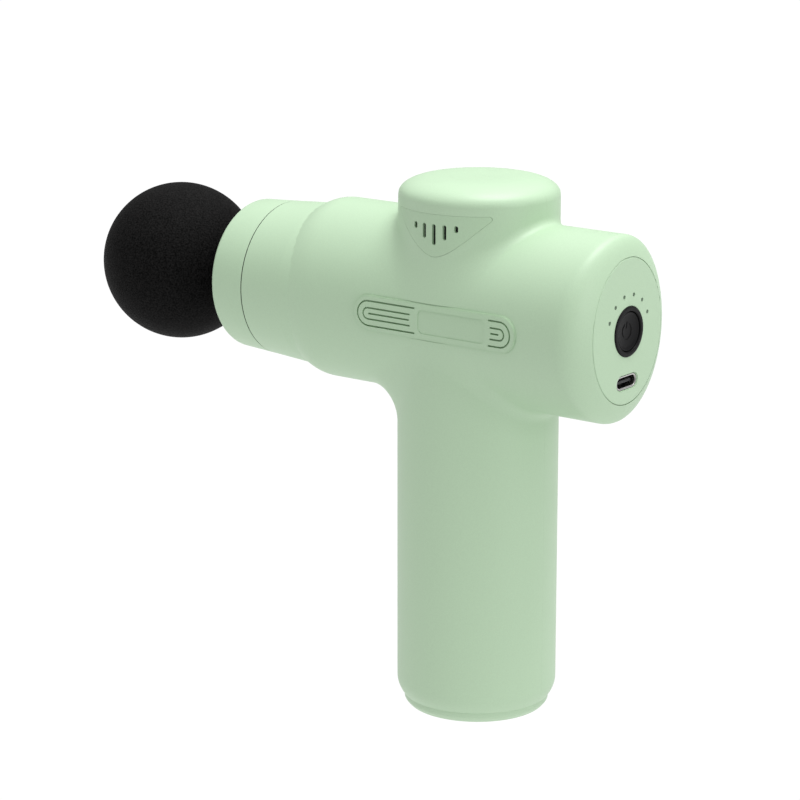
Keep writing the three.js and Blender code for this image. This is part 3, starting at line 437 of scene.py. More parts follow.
def gradient(field, points, step=0.02):
    result = np.zeros_like(points)
    for axis in range(3):
        offset = np.zeros(3)
        offset[axis] = step
        result[..., axis] = (field(points + offset) - field(points - offset)) / (2 * step)
    return result


def settled(field, points):
    """Moves points onto the surface where the field is zero."""
    for _ in range(3):
        slope = gradient(field, points)
        length = np.maximum((slope ** 2).sum(-1), 1e-6)
        move = slope * (field(points) / length)[..., None]
        points = points - np.clip(move, -0.5, 0.5)
    return points


def surface_mesh(name, field, axes):
    """A closed quad mesh of the surface where the field is zero, over a grid of (x, y, z) places."""
    grid = np.stack(np.meshgrid(*axes, indexing="ij"), -1)
    value = field(grid)
    cells = tuple(n - 1 for n in value.shape)

    def corner(array, offset):
        return array[tuple(slice(o, o + n) for o, n in zip(offset, cells))]

    total = np.zeros(cells + (3,))
    count = np.zeros(cells)
    offsets = [(i, j, k) for i in (0, 1) for j in (0, 1) for k in (0, 1)]
    for a in offsets:
        for axis in range(3):
            if a[axis]:
                continue
            b = tuple(o + (n == axis) for n, o in enumerate(a))
            va, vb = corner(value, a), corner(value, b)
            crossed = (va < 0) != (vb < 0)
            share = va[crossed] / (va[crossed] - vb[crossed])
            pa, pb = corner(grid, a)[crossed], corner(grid, b)[crossed]
            total[crossed] += pa + (pb - pa) * share[:, None]
            count[crossed] += 1
    active = count > 0
    index = np.full(cells, -1)
    index[active] = np.arange(active.sum())
    points = total[active] / count[active][:, None]

    inside = value < 0
    faces = []
    for axis in range(3):
        u, v = (axis + 1) % 3, (axis + 2) % 3
        ahead = np.take(inside, range(1, inside.shape[axis]), axis)
        behind = np.take(inside, range(inside.shape[axis] - 1), axis)
        for leaving in (True, False):
            edges = np.argwhere((behind & ~ahead) if leaving else (ahead & ~behind))
            edges = edges[(edges[:, u] > 0) & (edges[:, v] > 0)]
            edges = edges[(edges[:, u] < cells[u]) & (edges[:, v] < cells[v])]
            quad = []
            for du, dv in ((1, 1), (0, 1), (0, 0), (1, 0)):
                cell = edges.copy()
                cell[:, u] -= du
                cell[:, v] -= dv
                quad.append(index[tuple(cell.T)])
            faces.append(np.stack(quad if leaving else quad[::-1], 1))
    return mesh_object(name, settled(field, points), np.concatenate(faces).tolist())


def shade_casing(obj):
    """Takes the normals of the casing's outside from its field, and smooths the rest by angle."""
    shade(obj)
    mesh = obj.data
    loops = len(mesh.loops)
    normals = np.empty(loops * 3)
    mesh.corner_normals.foreach_get("vector", normals)
    normals = normals.reshape(-1, 3)
    corner_vertex = np.empty(loops, int)
    mesh.loops.foreach_get("vertex_index", corner_vertex)
    places = np.empty(len(mesh.vertices) * 3)
    mesh.vertices.foreach_get("co", places)
    places = places.reshape(-1, 3) / MM
    centres = np.array([polygon.center for polygon in mesh.polygons]) / MM
    facing = np.array([polygon.normal for polygon in mesh.polygons])
    sizes = np.array([polygon.loop_total for polygon in mesh.polygons])
    slope = gradient(casing_field, centres)
    slope /= np.linalg.norm(slope, axis=1)[:, None] + 1e-9
    outside = (np.abs(casing_field(centres)) < 0.12) & ((slope * facing).sum(1) > 0.9)
    corner_outside = np.repeat(outside, sizes)
    at_corner = gradient(casing_field, places)
    at_corner /= np.linalg.norm(at_corner, axis=1)[:, None] + 1e-9
    normals[corner_outside] = at_corner[corner_vertex[corner_outside]]
    mesh.normals_split_custom_set(normals.tolist())
    return obj


# ---------- materials ----------

# Colour, roughness, metalness, grain size, grain depth and colour change of each slot in the record.
FINISHES = {
    "mint_shell": ((0.455, 0.62, 0.43), 0.46, 0.0, 0.35, 0.006, 0.02),
    "mint_trim": ((0.435, 0.60, 0.41), 0.44, 0.0, 0.35, 0.006, 0.02),
    "black_plastic": ((0.006, 0.006, 0.0065), 0.42, 0.0, 0.3, 0.006, 0.15, 0.12),
    "switch_plastic": ((0.02, 0.02, 0.022), 0.5, 0.0, 0.5, 0.01, 0.15),
    "rubber": ((0.010, 0.010, 0.011), 0.8, 0.0, 0.4, 0.02, 0.2, 0.2),
    "foam": ((0.0054, 0.0052, 0.0052), 0.7, 0.0, 0.45, 0.25, 0.95, 0.06),
    "steel": ((0.55, 0.56, 0.58), 0.3, 1.0, 0.6, 0.004, 0.08),
    "port_steel": ((0.62, 0.62, 0.60), 0.25, 1.0, 0.4, 0.002, 0.05),
    "electrical_steel": ((0.20, 0.20, 0.21), 0.5, 1.0, 0.3, 0.01, 0.15),
    "aluminium": ((0.74, 0.75, 0.76), 0.35, 1.0, 0.5, 0.006, 0.06),
    "copper": ((0.78, 0.36, 0.18), 0.35, 1.0, 0.4, 0.05, 0.15),
    "nylon": ((0.78, 0.77, 0.72), 0.55, 0.0, 0.6, 0.01, 0.05),
    "circuit_board": ((0.012, 0.12, 0.055), 0.42, 0.0, 1.6, 0.01, 0.35),
    "cell_wrap": ((0.04, 0.15, 0.42), 0.35, 0.0, 2.0, 0.004, 0.08),
    "light_guide": ((0.07, 0.12, 0.07), 0.3, 0.0, 0.3, 0.002, 0.1),
    "screw_steel": ((0.30, 0.30, 0.31), 0.38, 1.0, 0.3, 0.006, 0.12),
    "black_lead": ((0.018, 0.018, 0.02), 0.45, 0.0, 0.8, 0.004, 0.15),
    "red_lead": ((0.45, 0.02, 0.015), 0.45, 0.0, 0.8, 0.004, 0.1),
}


def make_finish(name, colour, roughness, metalness, grain, depth, change, shine=0.5):
    material = bpy.data.materials.new(name)
    material.use_nodes = True
    nodes, links = material.node_tree.nodes, material.node_tree.links
    surface = nodes["Principled BSDF"]
    surface.inputs["Metallic"].default_value = metalness
    surface.inputs["Specular IOR Level"].default_value = shine

    place = nodes.new("ShaderNodeTexCoord")
    noise = nodes.new("ShaderNodeTexNoise")
    noise.inputs["Scale"].default_value = 1 / (grain * MM)
    noise.inputs["Detail"].default_value = 3
    links.new(place.outputs["Object"], noise.inputs["Vector"])
    patches = nodes.new("ShaderNodeTexNoise")
    patches.inputs["Scale"].default_value = 90
    links.new(place.outputs["Object"], patches.inputs["Vector"])

    tones = nodes.new("ShaderNodeMix")
    tones.data_type = "RGBA"
    tones.inputs["A"].default_value = (*[c * (1 - change) for c in colour], 1)
    tones.inputs["B"].default_value = (*[min(c * (1 + change), 1) for c in colour], 1)
    contrast = nodes.new("ShaderNodeMapRange")
    contrast.inputs["From Min"].default_value = 0.35
    contrast.inputs["From Max"].default_value = 0.65
    links.new(noise.outputs["Fac"], contrast.inputs["Value"])
    links.new(contrast.outputs["Result"], tones.inputs["Factor"])
    links.new(tones.outputs["Result"], surface.inputs["Base Color"])

    gloss = nodes.new("ShaderNodeMapRange")
    gloss.inputs["To Min"].default_value = roughness - 0.05
    gloss.inputs["To Max"].default_value = roughness + 0.05
    links.new(patches.outputs["Fac"], gloss.inputs["Value"])
    links.new(gloss.outputs["Result"], surface.inputs["Roughness"])

    bump = nodes.new("ShaderNodeBump")
    bump.inputs["Strength"].default_value = 0.6
    bump.inputs["Distance"].default_value = depth * MM
    links.new(noise.outputs["Fac"], bump.inputs["Height"])
    links.new(bump.outputs["Normal"], surface.inputs["Normal"])
    return material


finishes = {name: make_finish(name, *values) for name, values in FINISHES.items()}


def finished(obj, slot, body, *stands_for):
    """Gives a piece its material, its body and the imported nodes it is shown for."""
    obj.data.materials.clear()
    obj.data.materials.append(finishes[slot])
    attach(obj, body)
    if stands_for:
        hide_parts(*stands_for)
    return obj


# ---------- casing ----------

def dome_foot_z(x):
    """Height at which the dome's side meets the barrel, at a distance along X from its axis."""
    y2 = DOME_RADIUS ** 2 - x ** 2
    return AXIS_Z + BARREL_HALF_HEIGHT * math.sqrt(1 - y2 / BARREL_HALF_WIDTH ** 2)


def vent_outline(margin, steps=48):
    """The vent's outline in X and Z: flat on top, and following the dome's foot below."""
    top = VENT_TOP_Z - margin
    across = np.linspace(-DOME_RADIUS, DOME_RADIUS, 400)
    foot = np.array([dome_foot_z(x) for x in across])
    foot += VENT_ABOVE_FOOT + VENT_RISE * np.abs(across) + margin
    reach = np.abs(across[foot < top]).max()
    outline = [(x, np.interp(x, across, foot)) for x in np.linspace(-reach, reach, steps + 1)]
    outline[0] = (*outline[0], VENT_CORNER)
    outline[-1] = (*outline[-1], VENT_CORNER)
    outline = [outline[0], *outline[4:-4], outline[-1]]
    return [(x + VENT_CENTRE_X, z) for x, z in eased(outline)]


def sideways(side, start, end):
    """A range of Y on one side of the gun: -1 is its left, 1 its right."""
    return sorted((side * start, side * end))


def oval_bar(name, width):
    """A bar with the barrel's oval section at a given half-width, as long as a badge."""
    tall = BARREL_HALF_HEIGHT + width - BARREL_HALF_WIDTH
    angles = [2 * math.pi * i / 180 for i in range(180)]
    outline = [(width * math.cos(a), AXIS_Z + tall * math.sin(a)) for a in angles]
    return prism(name, "x", outline, -40, 40)


def inner_field(points):
    return np.maximum(casing_field(points) + WALL, points[..., 0] - CAVITY_END_X)


def boxed(field, low_x, low_z):
    """A field closed off below two places, so that its mesh is closed."""
    def closed(points):
        return np.maximum(field(points), np.maximum(low_x - points[..., 0], low_z - points[..., 2]))
    return closed


def build_shell():
    """The whole casing, on a grid that is finer at the shoulder and the rear corner."""
    shoulder = np.arange(SHOULDER_X - 3, SHOULDER_X + SHOULDER_LENGTH + 2, FINE_CELL)
    nose = np.arange(shoulder[0] - 16, shoulder[0], CELL)
    middle = np.arange(shoulder[-1] + CELL, REAR_EDGE_X - REAR_SIDE_CORNER, CELL)
    rear = np.arange(middle[-1] + FINE_CELL, REAR_EDGE_X + 2, FINE_CELL)
    across = np.arange(-25.5, 26, CELL)
    up = np.arange(-2.5, DOME_TOP_Z + 3, CELL)
    outer_axes = (np.concatenate([nose, shoulder, middle, rear]), across, up)
    shell = surface_mesh("shell", boxed(casing_field, NOSE_SEAM_X - 3, GRIP_EDGE_Z - 3), outer_axes)
    hollow_along = np.arange(NOSE_SEAM_X - 6, REAR_EDGE_X, HOLLOW_CELL)
    hollow_up = np.arange(-4.5, DOME_TOP_Z, HOLLOW_CELL)
    hollow_axes = (hollow_along, across[::2], hollow_up)
    hollow = surface_mesh("hollow", boxed(inner_field, NOSE_SEAM_X - 4.5, GRIP_EDGE_Z - 5), hollow_axes)
    # Known fault: the hollow's grid ends too close above the cavity's ceiling, so its mesh is open
    # at the top. This cut then does nothing, and the casing stays solid.
    combine(shell, "DIFFERENCE", hollow)
    kept = cuboid("kept", (NOSE_SEAM_X, REAR_EDGE_X + 9), (-40, 40), (GRIP_EDGE_Z, DOME_TOP_Z + 9))
    combine(shell, "INTERSECT", kept)
    end = REAR_EDGE_X + 5
    opening = rod("opening", "x", PANEL_HALF_HEIGHT - PANEL_LEDGE, REAR_EDGE_X - 8, end, sides=128)
    seat = rod("seat", "x", PANEL_HALF_HEIGHT + 0.03, PANEL_SEAT_X, end, sides=192)
    raise_to_axis(narrowed(opening), narrowed(seat))
    return combine(shell, "DIFFERENCE", opening, seat)


def build_vent(shell, name, side):
    block = prism("block", "y", vent_outline(0.07), *sideways(side, *SIDE_CUT))
    vent = combine(copied(shell, name), "INTERSECT", block)
    for i, length in enumerate(VENT_SLOT_LENGTHS):
        centre = (VENT_CENTRE_X + (i - 2) * VENT_SLOT_SPACING, VENT_SLOT_TOP_Z - length / 2)
        outline = stadium(VENT_SLOT_WIDTH, length, centre)
        combine(vent, "DIFFERENCE", prism("slot", "y", outline, *sideways(side, *SIDE_CUT)))
    inner_radius, low_z = DOME_RADIUS - VENT_THICKNESS, VENT_TOP_Z - 20
    pocket = prism("pocket", "y", vent_outline(VENT_RIM), *sideways(side, *SIDE_CUT))
    behind = rod("behind", "z", inner_radius, low_z, VENT_TOP_Z, sides=160)
    combine(vent, "DIFFERENCE", combine(pocket, "INTERSECT", behind))
    finished(shade_casing(vent), "mint_trim", "casing", name)

    liner = prism(f"{name}_dust_mesh", "y", vent_outline(VENT_RIM + 0.1), *sideways(side, *SIDE_CUT))
    skin = lathe("skin", "z", [
        (low_z, inner_radius - 0.5),
        (low_z, inner_radius - 0.05),
        (VENT_TOP_Z, inner_radius - 0.05),
        (VENT_TOP_Z, inner_radius - 0.5),
    ], 160)
    finished(shade(combine(liner, "INTERSECT", skin)), "rubber", "casing")


def build_casing_half(shell, name, side):
    half = combine(copied(shell, name), "INTERSECT",
                   cuboid("side", (-99, 99), sideways(side, SEAM / 2, 40), (-9, 199)))
    seat_y = BARREL_HALF_WIDTH - BADGE_SEAT_DEPTH
    for x in CASING_SCREW_X:
        boss = rod("boss", "y", SCREW_BOSS_RADIUS, *sideways(side, 18.2, 21.2), (x, AXIS_Z))
        combine(half, "UNION", boss)
    window = prism("window", "y", vent_outline(0), *sideways(side, *SIDE_CUT))
    outline = stadium(BADGE_LENGTH + 0.04, BADGE_HEIGHT + 0.04, (BADGE_CENTRE_X, AXIS_Z), 24)
    combine(half, "DIFFERENCE", window, prism("seat", "y", outline, *sideways(side, seat_y, 26)))
    for x in CASING_SCREW_X:
        sink = rod("sink", "y", SCREW_SINK_RADIUS, *sideways(side, seat_y - 0.9, 23), (x, AXIS_Z))
        hole = rod("hole", "y", SCREW_HOLE_RADIUS, *sideways(side, 17, 23), (x, AXIS_Z))
        combine(half, "DIFFERENCE", sink, hole)
    return finished(shade_casing(half), "mint_shell", "casing", name)


def groove_lines(name, side):
    """Cutters for the badge's nested U lines at both ends and the middle line of each."""
    cutters = []
    centre = (BADGE_CENTRE_X, AXIS_Z)
    around = (AXIS_Z - BADGE_HEIGHT, AXIS_Z + BADGE_HEIGHT)
    for length, height, left_end, right_start in GROOVE_RINGS:
        for start, end in ((-40, left_end), (right_start, 40)):
            ring = prism(name, "y", stadium(length, height, centre), *sideways(side, *BADGE_CUT))
            core = stadium(length - 2 * GROOVE_WIDTH, height - 2 * GROOVE_WIDTH, centre)
            combine(ring, "DIFFERENCE", prism("core", "y", core, *sideways(side, 19, 27)))
            combine(ring, "INTERSECT", cuboid("part", (start, end), sideways(side, 18, 28), around))
            cutters.append(ring)
    for start, end in GROOVE_MIDDLE_LINES:
        line = stadium(end - start, GROOVE_WIDTH, ((start + end) / 2, AXIS_Z))
        cutters.append(prism(name, "y", line, *sideways(side, *BADGE_CUT)))
    return cutters


def build_badge(name, side):
    seat_y = BARREL_HALF_WIDTH - BADGE_SEAT_DEPTH + 0.15
    face_y = BARREL_HALF_WIDTH + BADGE_PROUD
    badge = None
    # The plate's edge is stepped back in thin layers, which round it off.
    for inset, drop in ((0.0, 0.42), (0.07, 0.25), (0.17, 0.12), (0.3, 0.04), (0.5, 0.0)):
        length, height = BADGE_LENGTH - 2 * inset, BADGE_HEIGHT - 2 * inset
        outline = stadium(length, height, (BADGE_CENTRE_X, AXIS_Z), 24)
        layer = prism(name, "y", outline, *sideways(side, seat_y, 26))
        combine(layer, "INTERSECT", oval_bar("skin", face_y - drop))
        badge = layer if badge is None else combine(badge, "UNION", layer)
    for cutter in groove_lines(name, side):
        combine(cutter, "DIFFERENCE", oval_bar("floor", face_y - GROOVE_DEPTH))
        combine(badge, "DIFFERENCE", cutter)
    low, high = AXIS_Z - BLANK_HEIGHT / 2, AXIS_Z + BLANK_HEIGHT / 2
    corners = ((BLANK_START_X, low), (BLANK_END_X, low), (BLANK_END_X, high), (BLANK_START_X, high))
    blank = eased([(x, z, BLANK_CORNER) for x, z in corners])
    recess = prism(name, "y", blank, *sideways(side, *BADGE_CUT))
    combine(recess, "DIFFERENCE", oval_bar("floor", face_y - BLANK_DEPTH))
    combine(badge, "DIFFERENCE", recess)
    return finished(shade(badge, 60), "mint_trim", "casing", name)


# ---------- nose, rear panel and controls ----------

def build_nose():
    rim = span("nose_ring")[0][0]
    spigot = NOSE_SEAM_RADIUS - WALL - 0.15
    ring = lathe("nose_ring", "x", [
        (NOSE_SEAM_X - NOSE_GAP, NOSE_SEAM_RADIUS - 0.02, 0.1),
        (rim, NOSE_RIM_RADIUS, NOSE_RIM_ROUNDING),
        (rim, NOSE_BORE_RADIUS, 0.5),
        (rim + NOSE_LIP, NOSE_BORE_RADIUS),
        (rim + NOSE_LIP, NOSE_INNER_RADIUS),
        (NOSE_SEAM_X + NOSE_SPIGOT_LENGTH, NOSE_INNER_RADIUS),
        (NOSE_SEAM_X + NOSE_SPIGOT_LENGTH, spigot),
        (NOSE_SEAM_X - NOSE_GAP, spigot),
    ], 192)
    front, back = NOSE_SEAM_X - NOSE_GAP + 0.02, NOSE_SEAM_X - 0.02
    # A dark rubber ring sunk just under the surface in the nose seam: painted shade that makes the seam
    # read as a dark line.
    seam_shade_ring = lathe("nose_seam_shade_ring", "x", [
        (front, spigot + 0.1),
        (front, NOSE_SEAM_RADIUS - 0.12),
        (back, NOSE_SEAM_RADIUS - 0.12),
        (back, spigot + 0.1),
    ], 192)
    raise_to_axis(ring, seam_shade_ring)
    finished(shade(ring), "mint_shell", "casing", "nose_ring")
    finished(shade(seam_shade_ring), "rubber", "casing")

    lip = PLUNGER_RADIUS + SEAL_GAP
    front = span("nose_seal")[0][0]
    behind_lip = rim + NOSE_LIP + 0.3
    seal = lathe("nose_seal", "x", [
        (front, lip, 0.4),
        (front, NOSE_FLANGE_RADIUS, 0.9),
        (rim - 0.03, NOSE_FLANGE_RADIUS, 0.2),
        (rim - 0.03, NOSE_BORE_RADIUS - 0.3),
        (behind_lip, NOSE_BORE_RADIUS - 0.3),
        (behind_lip, SEAL_RADIUS),
        (behind_lip + 1, SEAL_RADIUS),
        (behind_lip + 1, lip, 0.4),
    ], 128)
    raise_to_axis(seal)
    finished(shade(seal), "rubber", "casing", "nose_seal")


def rear_face_x(height):
    """How far back the crowned rear face stands at a height above or below the barrel's axis."""
    return REAR_EDGE_X + REAR_CROWN * (1 - (height / PANEL_HALF_HEIGHT) ** 2)


def light_places():
    angles = [(i - (LIGHT_COUNT - 1) / 2) * LIGHT_SPACING for i in range(LIGHT_COUNT)]
    return [(LIGHT_RING_RADIUS * math.sin(a), LIGHT_RING_RADIUS * math.cos(a)) for a in angles]


def port_outline(margin):
    """The port's slot, wider and higher than its nominal size by a margin."""
    return stadium(PORT_WIDTH + margin, PORT_HEIGHT + margin, (0, PORT_Z))


def build_rear_panel():
    inside = REAR_EDGE_X - 1
    spigot_end = REAR_EDGE_X - 5.6
    rim = PANEL_HALF_HEIGHT - 0.1
    spigot = PANEL_HALF_HEIGHT - PANEL_LEDGE - 0.25
    spigot_inner = spigot - 1.4
    crown = [(rear_face_x(height), height) for height in np.linspace(rim, 0, 24)]
    crown[0] = (*crown[0], 0.25)
    panel = narrowed(lathe("rear_panel", "x", [
        (inside, 0),
        (inside, spigot_inner),
        (spigot_end, spigot_inner),
        (spigot_end, spigot),
        (PANEL_SEAT_X + 0.3, spigot),
        (PANEL_SEAT_X + 0.3, rim),
        *crown,
    ], 192))
    for y, z in light_places():
        combine(panel, "DIFFERENCE", rod("hole", "x", LIGHT_RADIUS + 0.08, *REAR_CUT, (y, z), 24))
    button_hole = rod("hole", "x", BEZEL_RADIUS + 0.1, *REAR_CUT, (0, 0), 96)
    port = prism("port", "x", port_outline(0.3), *REAR_CUT)
    bevel = prism("bevel", "x", port_outline(0.7), rear_face_x(PORT_Z) - 0.25, REAR_CUT[1])
    combine(panel, "DIFFERENCE", button_hole, port, bevel)
    raise_to_axis(panel)
    finished(shade(panel), "mint_shell", "casing", "rear_panel")


def power_sign():
    """A cutter for the on-off sign: an open ring and a bar, sunk into the button's face."""
    start, end = REAR_CUT
    ring = lathe("sign", "x", [
        (start, SIGN_INNER_RADIUS),
        (start, SIGN_OUTER_RADIUS),
        (end, SIGN_OUTER_RADIUS),
        (end, SIGN_INNER_RADIUS),
    ], 64)
    combine(ring, "DIFFERENCE", cuboid("gap", (start - 1, end + 1), (-0.9, 0.9), (0, 3)))
    bar = prism("bar", "x", stadium(0.55, 1.9, (0, 1.6)), start, end)
    return [ring, bar]


def build_button():
    face = rear_face_x(BEZEL_RADIUS)
    back = REAR_EDGE_X - 1.6
    bezel = lathe("button_bezel", "x", [
        (back, BEZEL_RADIUS),
        (face + BEZEL_PROUD, BEZEL_RADIUS, 0.3),
        (face + BEZEL_PROUD, BUTTON_RADIUS + BUTTON_GAP, 0.35),
        (back, BUTTON_RADIUS + BUTTON_GAP),
    ])
    flange = REAR_EDGE_X - 3
    middle = face - 0.75
    radii = np.linspace(DISH_RADIUS, 0, 14)
    dish = [(middle + DISH_DEPTH * (radius / BUTTON_RADIUS) ** 2, radius) for radius in radii]
    button = lathe("power_button", "x", [
        (flange - 0.7, 0),
        (flange - 0.7, 1.5, 0.2),
        (flange, 1.5),
        (flange, BEZEL_RADIUS + 0.4),
        (flange + 1, BEZEL_RADIUS + 0.4),
        (flange + 1, BUTTON_RADIUS),
        (face + 0.1, BUTTON_RADIUS, 0.4),
        *dish,
    ])
    # The sign's cutters stop at this floor, which follows the dish.
    deepest = REAR_CUT[0] - 10
    floor = lathe("floor", "x", [
        (deepest, 0),
        (deepest, BUTTON_RADIUS + 0.9),
        (face - 0.3, BUTTON_RADIUS + 0.9),
        *[(x - SIGN_DEPTH, radius) for x, radius in dish],
    ])
    for cutter in power_sign():
        combine(cutter, "DIFFERENCE", floor, keep=(floor,))
        combine(button, "DIFFERENCE", cutter)
    bpy.data.objects.remove(floor)
    raise_to_axis(bezel, button)
    finished(shade(bezel), "black_plastic", "casing", "button_bezel")
    finished(shade(button), "black_plastic", "power_button", "power_button")


def build_lights():
    spread = math.radians(80)
    arc = [math.pi / 2 + spread * (i / 12 - 1) for i in range(25)]
    outer = LIGHT_RING_RADIUS + LIGHT_GUIDE_HALF_WIDTH
    inner = LIGHT_RING_RADIUS - LIGHT_GUIDE_HALF_WIDTH
    outline = [(outer * math.cos(a), outer * math.sin(a)) for a in arc]
    outline += [(inner * math.cos(a), inner * math.sin(a)) for a in reversed(arc)]
    guide = prism("led_light_guide", "x", outline, REAR_EDGE_X - 3.4, REAR_EDGE_X - 1.4)
    tip = rear_face_x(LIGHT_RING_RADIUS) - 0.05
    for y, z in light_places():
        prong = lathe("prong", "x", [
            (REAR_EDGE_X - 2, 0),
            (REAR_EDGE_X - 2, LIGHT_RADIUS),
            (tip, LIGHT_RADIUS, 0.25),
            (tip, 0),
        ], 24)
        prong.data.transform(Matrix.Translation((0, y * MM, z * MM)))
        combine(guide, "UNION", prong)
    raise_to_axis(guide)
    finished(shade(guide), "light_guide", "casing", "led_light_guide")


def build_port():
    start = span("usb_c_shell")[0][0]
    end = rear_face_x(PORT_Z) - 0.3
    shell = prism("usb_c_shell", "x", port_outline(-0.1), start, end)
    lip = prism("lip", "x", port_outline(-0.4), end - 0.2, end + 1)
    inside = prism("inside", "x", port_outline(-0.8), start + 0.8, end + 1)
    combine(shell, "DIFFERENCE", lip, inside)
    raise_to_axis(shell)
    finished(shade(shell), "port_steel", "casing", "usb_c_shell")

    low, high = span("usb_c_tongue")
    tongue = prism("usb_c_tongue", "x", stadium(6.6, 0.7, (0, PORT_Z), 6), low[0], high[0])
    raise_to_axis(tongue)
    finished(shade(tongue), "switch_plastic", "casing", "usb_c_tongue")
    along = (high[0] - 3.4, high[0] - 0.5)
    for i in range(CONTACTS_PER_SIDE):
        y = (i - (CONTACTS_PER_SIDE - 1) / 2) * CONTACT_SPACING
        for word, face in (("bottom", -1), ("top", 1)):
            z = AXIS_Z + PORT_Z + face * 0.34
            pad = cuboid(f"usb_contact_{i}_{word}", along, (y - 0.13, y + 0.13), (z - 0.04, z + 0.04))
            finished(pad, "port_steel", "casing")


# ---------- head and plunger ----------

def build_head():
    collar_end = STEM_HIGH[0] - SHANK_LENGTH
    seat = BALL_X + math.sqrt(BALL_RADIUS ** 2 - COLLAR_RADIUS ** 2) - 1
    stem = lathe("head_stem", "x", [
        (STEM_HIGH[0], 0),
        (STEM_HIGH[0], SHANK_RADIUS, 1.0),
        (collar_end, SHANK_RADIUS, 0.4),
        (collar_end, COLLAR_RADIUS, 0.6),
        (seat, COLLAR_RADIUS, 0.3),
        (seat, NECK_RADIUS, 0.4),
        (STEM_LOW[0], NECK_RADIUS, 0.8),
        (STEM_LOW[0], 0),
    ])
    raise_to_axis(stem)
    finished(shade(stem), "black_plastic", "head", "head_stem")

    work = bmesh.new()
    bmesh.ops.create_icosphere(work, subdivisions=6, radius=BALL_RADIUS * MM)
    mesh = bpy.data.meshes.new("massage_ball")
    work.to_mesh(mesh)
    work.free()
    ball = bpy.data.objects.new("massage_ball_foam", mesh)
    bpy.context.scene.collection.objects.link(ball)
    mesh.transform(Matrix.Translation((BALL_X * MM, 0, 0)))
    bore = rod("bore", "x", NECK_RADIUS + 0.2, STEM_LOW[0] - 0.2, collar_end, sides=64)
    counterbore = rod("counterbore", "x", COLLAR_RADIUS + 0.15, seat - 0.2, collar_end, sides=96)
    combine(ball, "DIFFERENCE", bore, counterbore)
    raise_to_axis(ball)
    finished(shade(ball, 50), "foam", "head", "massage_ball")


def build_plunger():
    face, rear = PLUNGER_LOW[0], PLUNGER_HIGH[0]
    groove = sum(span("socket_oring"))[0] / 2
    plunger = lathe("plunger", "x", [
        (face + SOCKET_DEPTH, 0),
        (face + SOCKET_DEPTH, SOCKET_RADIUS),
        (groove + ORING_GROOVE_HALF_WIDTH, SOCKET_RADIUS),
        (groove + ORING_GROOVE_HALF_WIDTH, ORING_GROOVE_RADIUS),
        (groove - ORING_GROOVE_HALF_WIDTH, ORING_GROOVE_RADIUS),
        (groove - ORING_GROOVE_HALF_WIDTH, SOCKET_RADIUS),
        (face, SOCKET_RADIUS, 0.5),
        (face, PLUNGER_RADIUS, 0.6),
        (rear, PLUNGER_RADIUS, 0.4),
        (rear, 0),
    ])
    # the slot for the yoke's tang
    slot = cuboid("slot", (rear - 5.3, rear + 1), (-5.3, 5.3), (-3.3, 3.3))
    combine(plunger, "DIFFERENCE", slot)
    raise_to_axis(plunger)
    finished(shade(plunger), "aluminium", "plunger", "plunger")


# ---------- base ----------

def build_screw(name, x):
    """A pan-head screw with a cross recess, its head facing down."""
    low, high = span(name)
    screw = lathe(name, "z", [
        (low[2], 0),
        (low[2], SCREW_HEAD_RADIUS, 0.4),
        (low[2] + SCREW_HEAD_HEIGHT, SCREW_HEAD_RADIUS),
        (low[2] + SCREW_HEAD_HEIGHT, SCREW_SHANK_RADIUS),
        (high[2], SCREW_SHANK_RADIUS, 0.5),
        (high[2], 0),
    ], 48)
    depth = (low[2] - 1, low[2] + 0.55)
    for wide, deep in ((1.3, 0.25), (0.25, 1.3)):
        combine(screw, "DIFFERENCE", cuboid("recess", (-wide, wide), (-deep, deep), depth))
    screw.data.transform(Matrix.Translation((x * MM, 0, 0)))
    finished(shade(screw), "screw_steel", "casing", name)


def build_base():
    plate_top = GRIP_EDGE_Z - BASE_GAP
    spigot = GRIP_RADIUS - WALL - 0.2
    cap = lathe("base_cap", "z", [
        (0, 0),
        (0, BASE_FLAT_RADIUS + 0.6, 1.4),
        (1.5, BASE_RADIUS - 0.05, 1.2),
        (plate_top, BASE_RADIUS, 0.05),
        (plate_top, spigot),
        (BASE_SPIGOT_TOP_Z, spigot, 0.3),
        (BASE_SPIGOT_TOP_Z, BASE_SPIGOT_INNER_RADIUS, 0.3),
        (GRIP_EDGE_Z, BASE_SPIGOT_INNER_RADIUS),
        (GRIP_EDGE_Z, 0),
    ], 160)
    rib = lathe("rib", "z", [(-1, 15.2), (-1, 15.9), (0.3, 15.9), (0.3, 15.2)], 160)
    combine(cap, "DIFFERENCE", rib)
    for x in (-BASE_SCREW_X, BASE_SCREW_X):
        sink = rod("sink", "z", SCREW_HEAD_RADIUS + 0.3, -1, 1.3, (x, 0))
        hole = rod("hole", "z", SCREW_HOLE_RADIUS, -1, 5, (x, 0), 32)
        combine(cap, "DIFFERENCE", sink, hole)
    finished(shade(cap), "mint_shell", "casing", "base_cap")
    for i, x in enumerate((-BASE_SCREW_X, BASE_SCREW_X)):
        build_screw(f"base_cap_screw_{i + 1}", x)


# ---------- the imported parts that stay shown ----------

def finish_inside():
    for part in frame["record"]["subparts"]:
        obj = frame["nodes"][part["node"]]
        obj.data.materials.clear()
        obj.data.materials.append(finishes[part["material_slot"]])


# ---------- light, floor and camera ----------

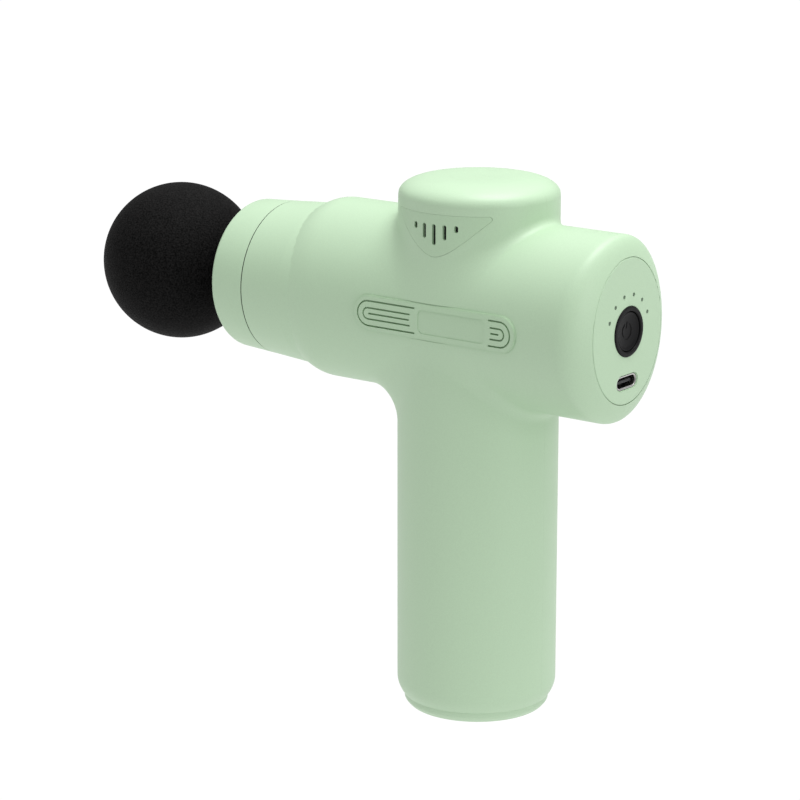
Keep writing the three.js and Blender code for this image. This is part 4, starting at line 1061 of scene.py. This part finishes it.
def build_world():
    world = bpy.data.worlds.new("studio")
    world.use_nodes = True
    nodes, links = world.node_tree.nodes, world.node_tree.links
    direction = nodes.new("ShaderNodeTexCoord")
    parts = nodes.new("ShaderNodeSeparateXYZ")
    ramp = nodes.new("ShaderNodeValToRGB")
    links.new(direction.outputs["Generated"], parts.inputs["Vector"])
    links.new(parts.outputs["Z"], ramp.inputs["Fac"])
    ramp.color_ramp.elements[0].position = 0.2
    ramp.color_ramp.elements[0].color = (0.25, 0.25, 0.25, 1)
    ramp.color_ramp.elements[1].position = 0.85
    ramp.color_ramp.elements[1].color = (1, 1, 1, 1)
    links.new(ramp.outputs["Color"], nodes["Background"].inputs["Color"])
    nodes["Background"].inputs["Strength"].default_value = 1.15
    bpy.context.scene.world = world


def build_light(name, place, target, size, power):
    data = bpy.data.lights.new(name, "AREA")
    data.shape = "DISK"
    data.size = size
    data.energy = power
    light = bpy.data.objects.new(name, data)
    light.location = place
    light.rotation_euler = (Vector(target) - Vector(place)).to_track_quat("-Z", "Y").to_euler()
    bpy.context.scene.collection.objects.link(light)


def build_floor():
    reach, level = 6000, -0.05
    corners = [(-reach, -reach), (reach, -reach), (reach, reach), (-reach, reach)]
    floor = mesh_object("floor", [(x, y, level) for x, y in corners], [(0, 1, 2, 3)])
    material = bpy.data.materials.new("floor_white")
    material.use_nodes = True
    nodes, links = material.node_tree.nodes, material.node_tree.links
    glow = nodes.new("ShaderNodeEmission")
    place = nodes.new("ShaderNodeTexCoord")
    towards_front = nodes.new("ShaderNodeVectorMath")
    towards_front.operation = "DOT_PRODUCT"
    towards_front.inputs[1].default_value = (math.sin(VIEW_AZIMUTH), -math.cos(VIEW_AZIMUTH), 0)
    fade = nodes.new("ShaderNodeMapRange")
    fade.inputs["From Min"].default_value = 0.25
    fade.inputs["From Max"].default_value = 0.6
    fade.inputs["To Min"].default_value = 1.03
    fade.inputs["To Max"].default_value = 0.45
    links.new(place.outputs["Object"], towards_front.inputs[0])
    links.new(towards_front.outputs["Value"], fade.inputs["Value"])
    links.new(fade.outputs["Result"], glow.inputs["Strength"])
    links.new(glow.outputs["Emission"], nodes["Material Output"].inputs["Surface"])
    floor.data.materials.append(material)


def build_camera():
    back = Vector((
        math.sin(VIEW_AZIMUTH) * math.cos(VIEW_ELEVATION),
        -math.cos(VIEW_AZIMUTH) * math.cos(VIEW_ELEVATION),
        math.sin(VIEW_ELEVATION),
    ))
    data = bpy.data.cameras.new("camera")
    data.lens = 135
    data.sensor_width = 36
    camera = bpy.data.objects.new("camera", data)
    camera.location = Vector(VIEW_AIM) + VIEW_DISTANCE * back
    camera.rotation_euler = (-back).to_track_quat("-Z", "Y").to_euler()
    bpy.context.scene.collection.objects.link(camera)
    bpy.context.scene.camera = camera


# ---------- everything ----------

finish_inside()
whole = build_shell()
for word, sign in (("left", -1), ("right", 1)):
    build_vent(whole, f"vent_{word}", sign)
    build_casing_half(whole, f"casing_{word}", sign)
    build_badge(f"badge_{word}", sign)
bpy.data.objects.remove(whole)
build_nose()
build_rear_panel()
build_button()
build_lights()
build_port()
build_head()
build_plunger()
build_base()
build_world()
build_light("overhead", (0.12, 0.1, 0.85), (0, 0, 0.1), 0.5, 4.6)
build_light("rear_fill", (0.9, -0.1, 0.2), (0, 0, 0.1), 0.5, 1.7)
build_floor()
build_camera()

view = bpy.context.scene.view_settings
view.view_transform = "Standard"
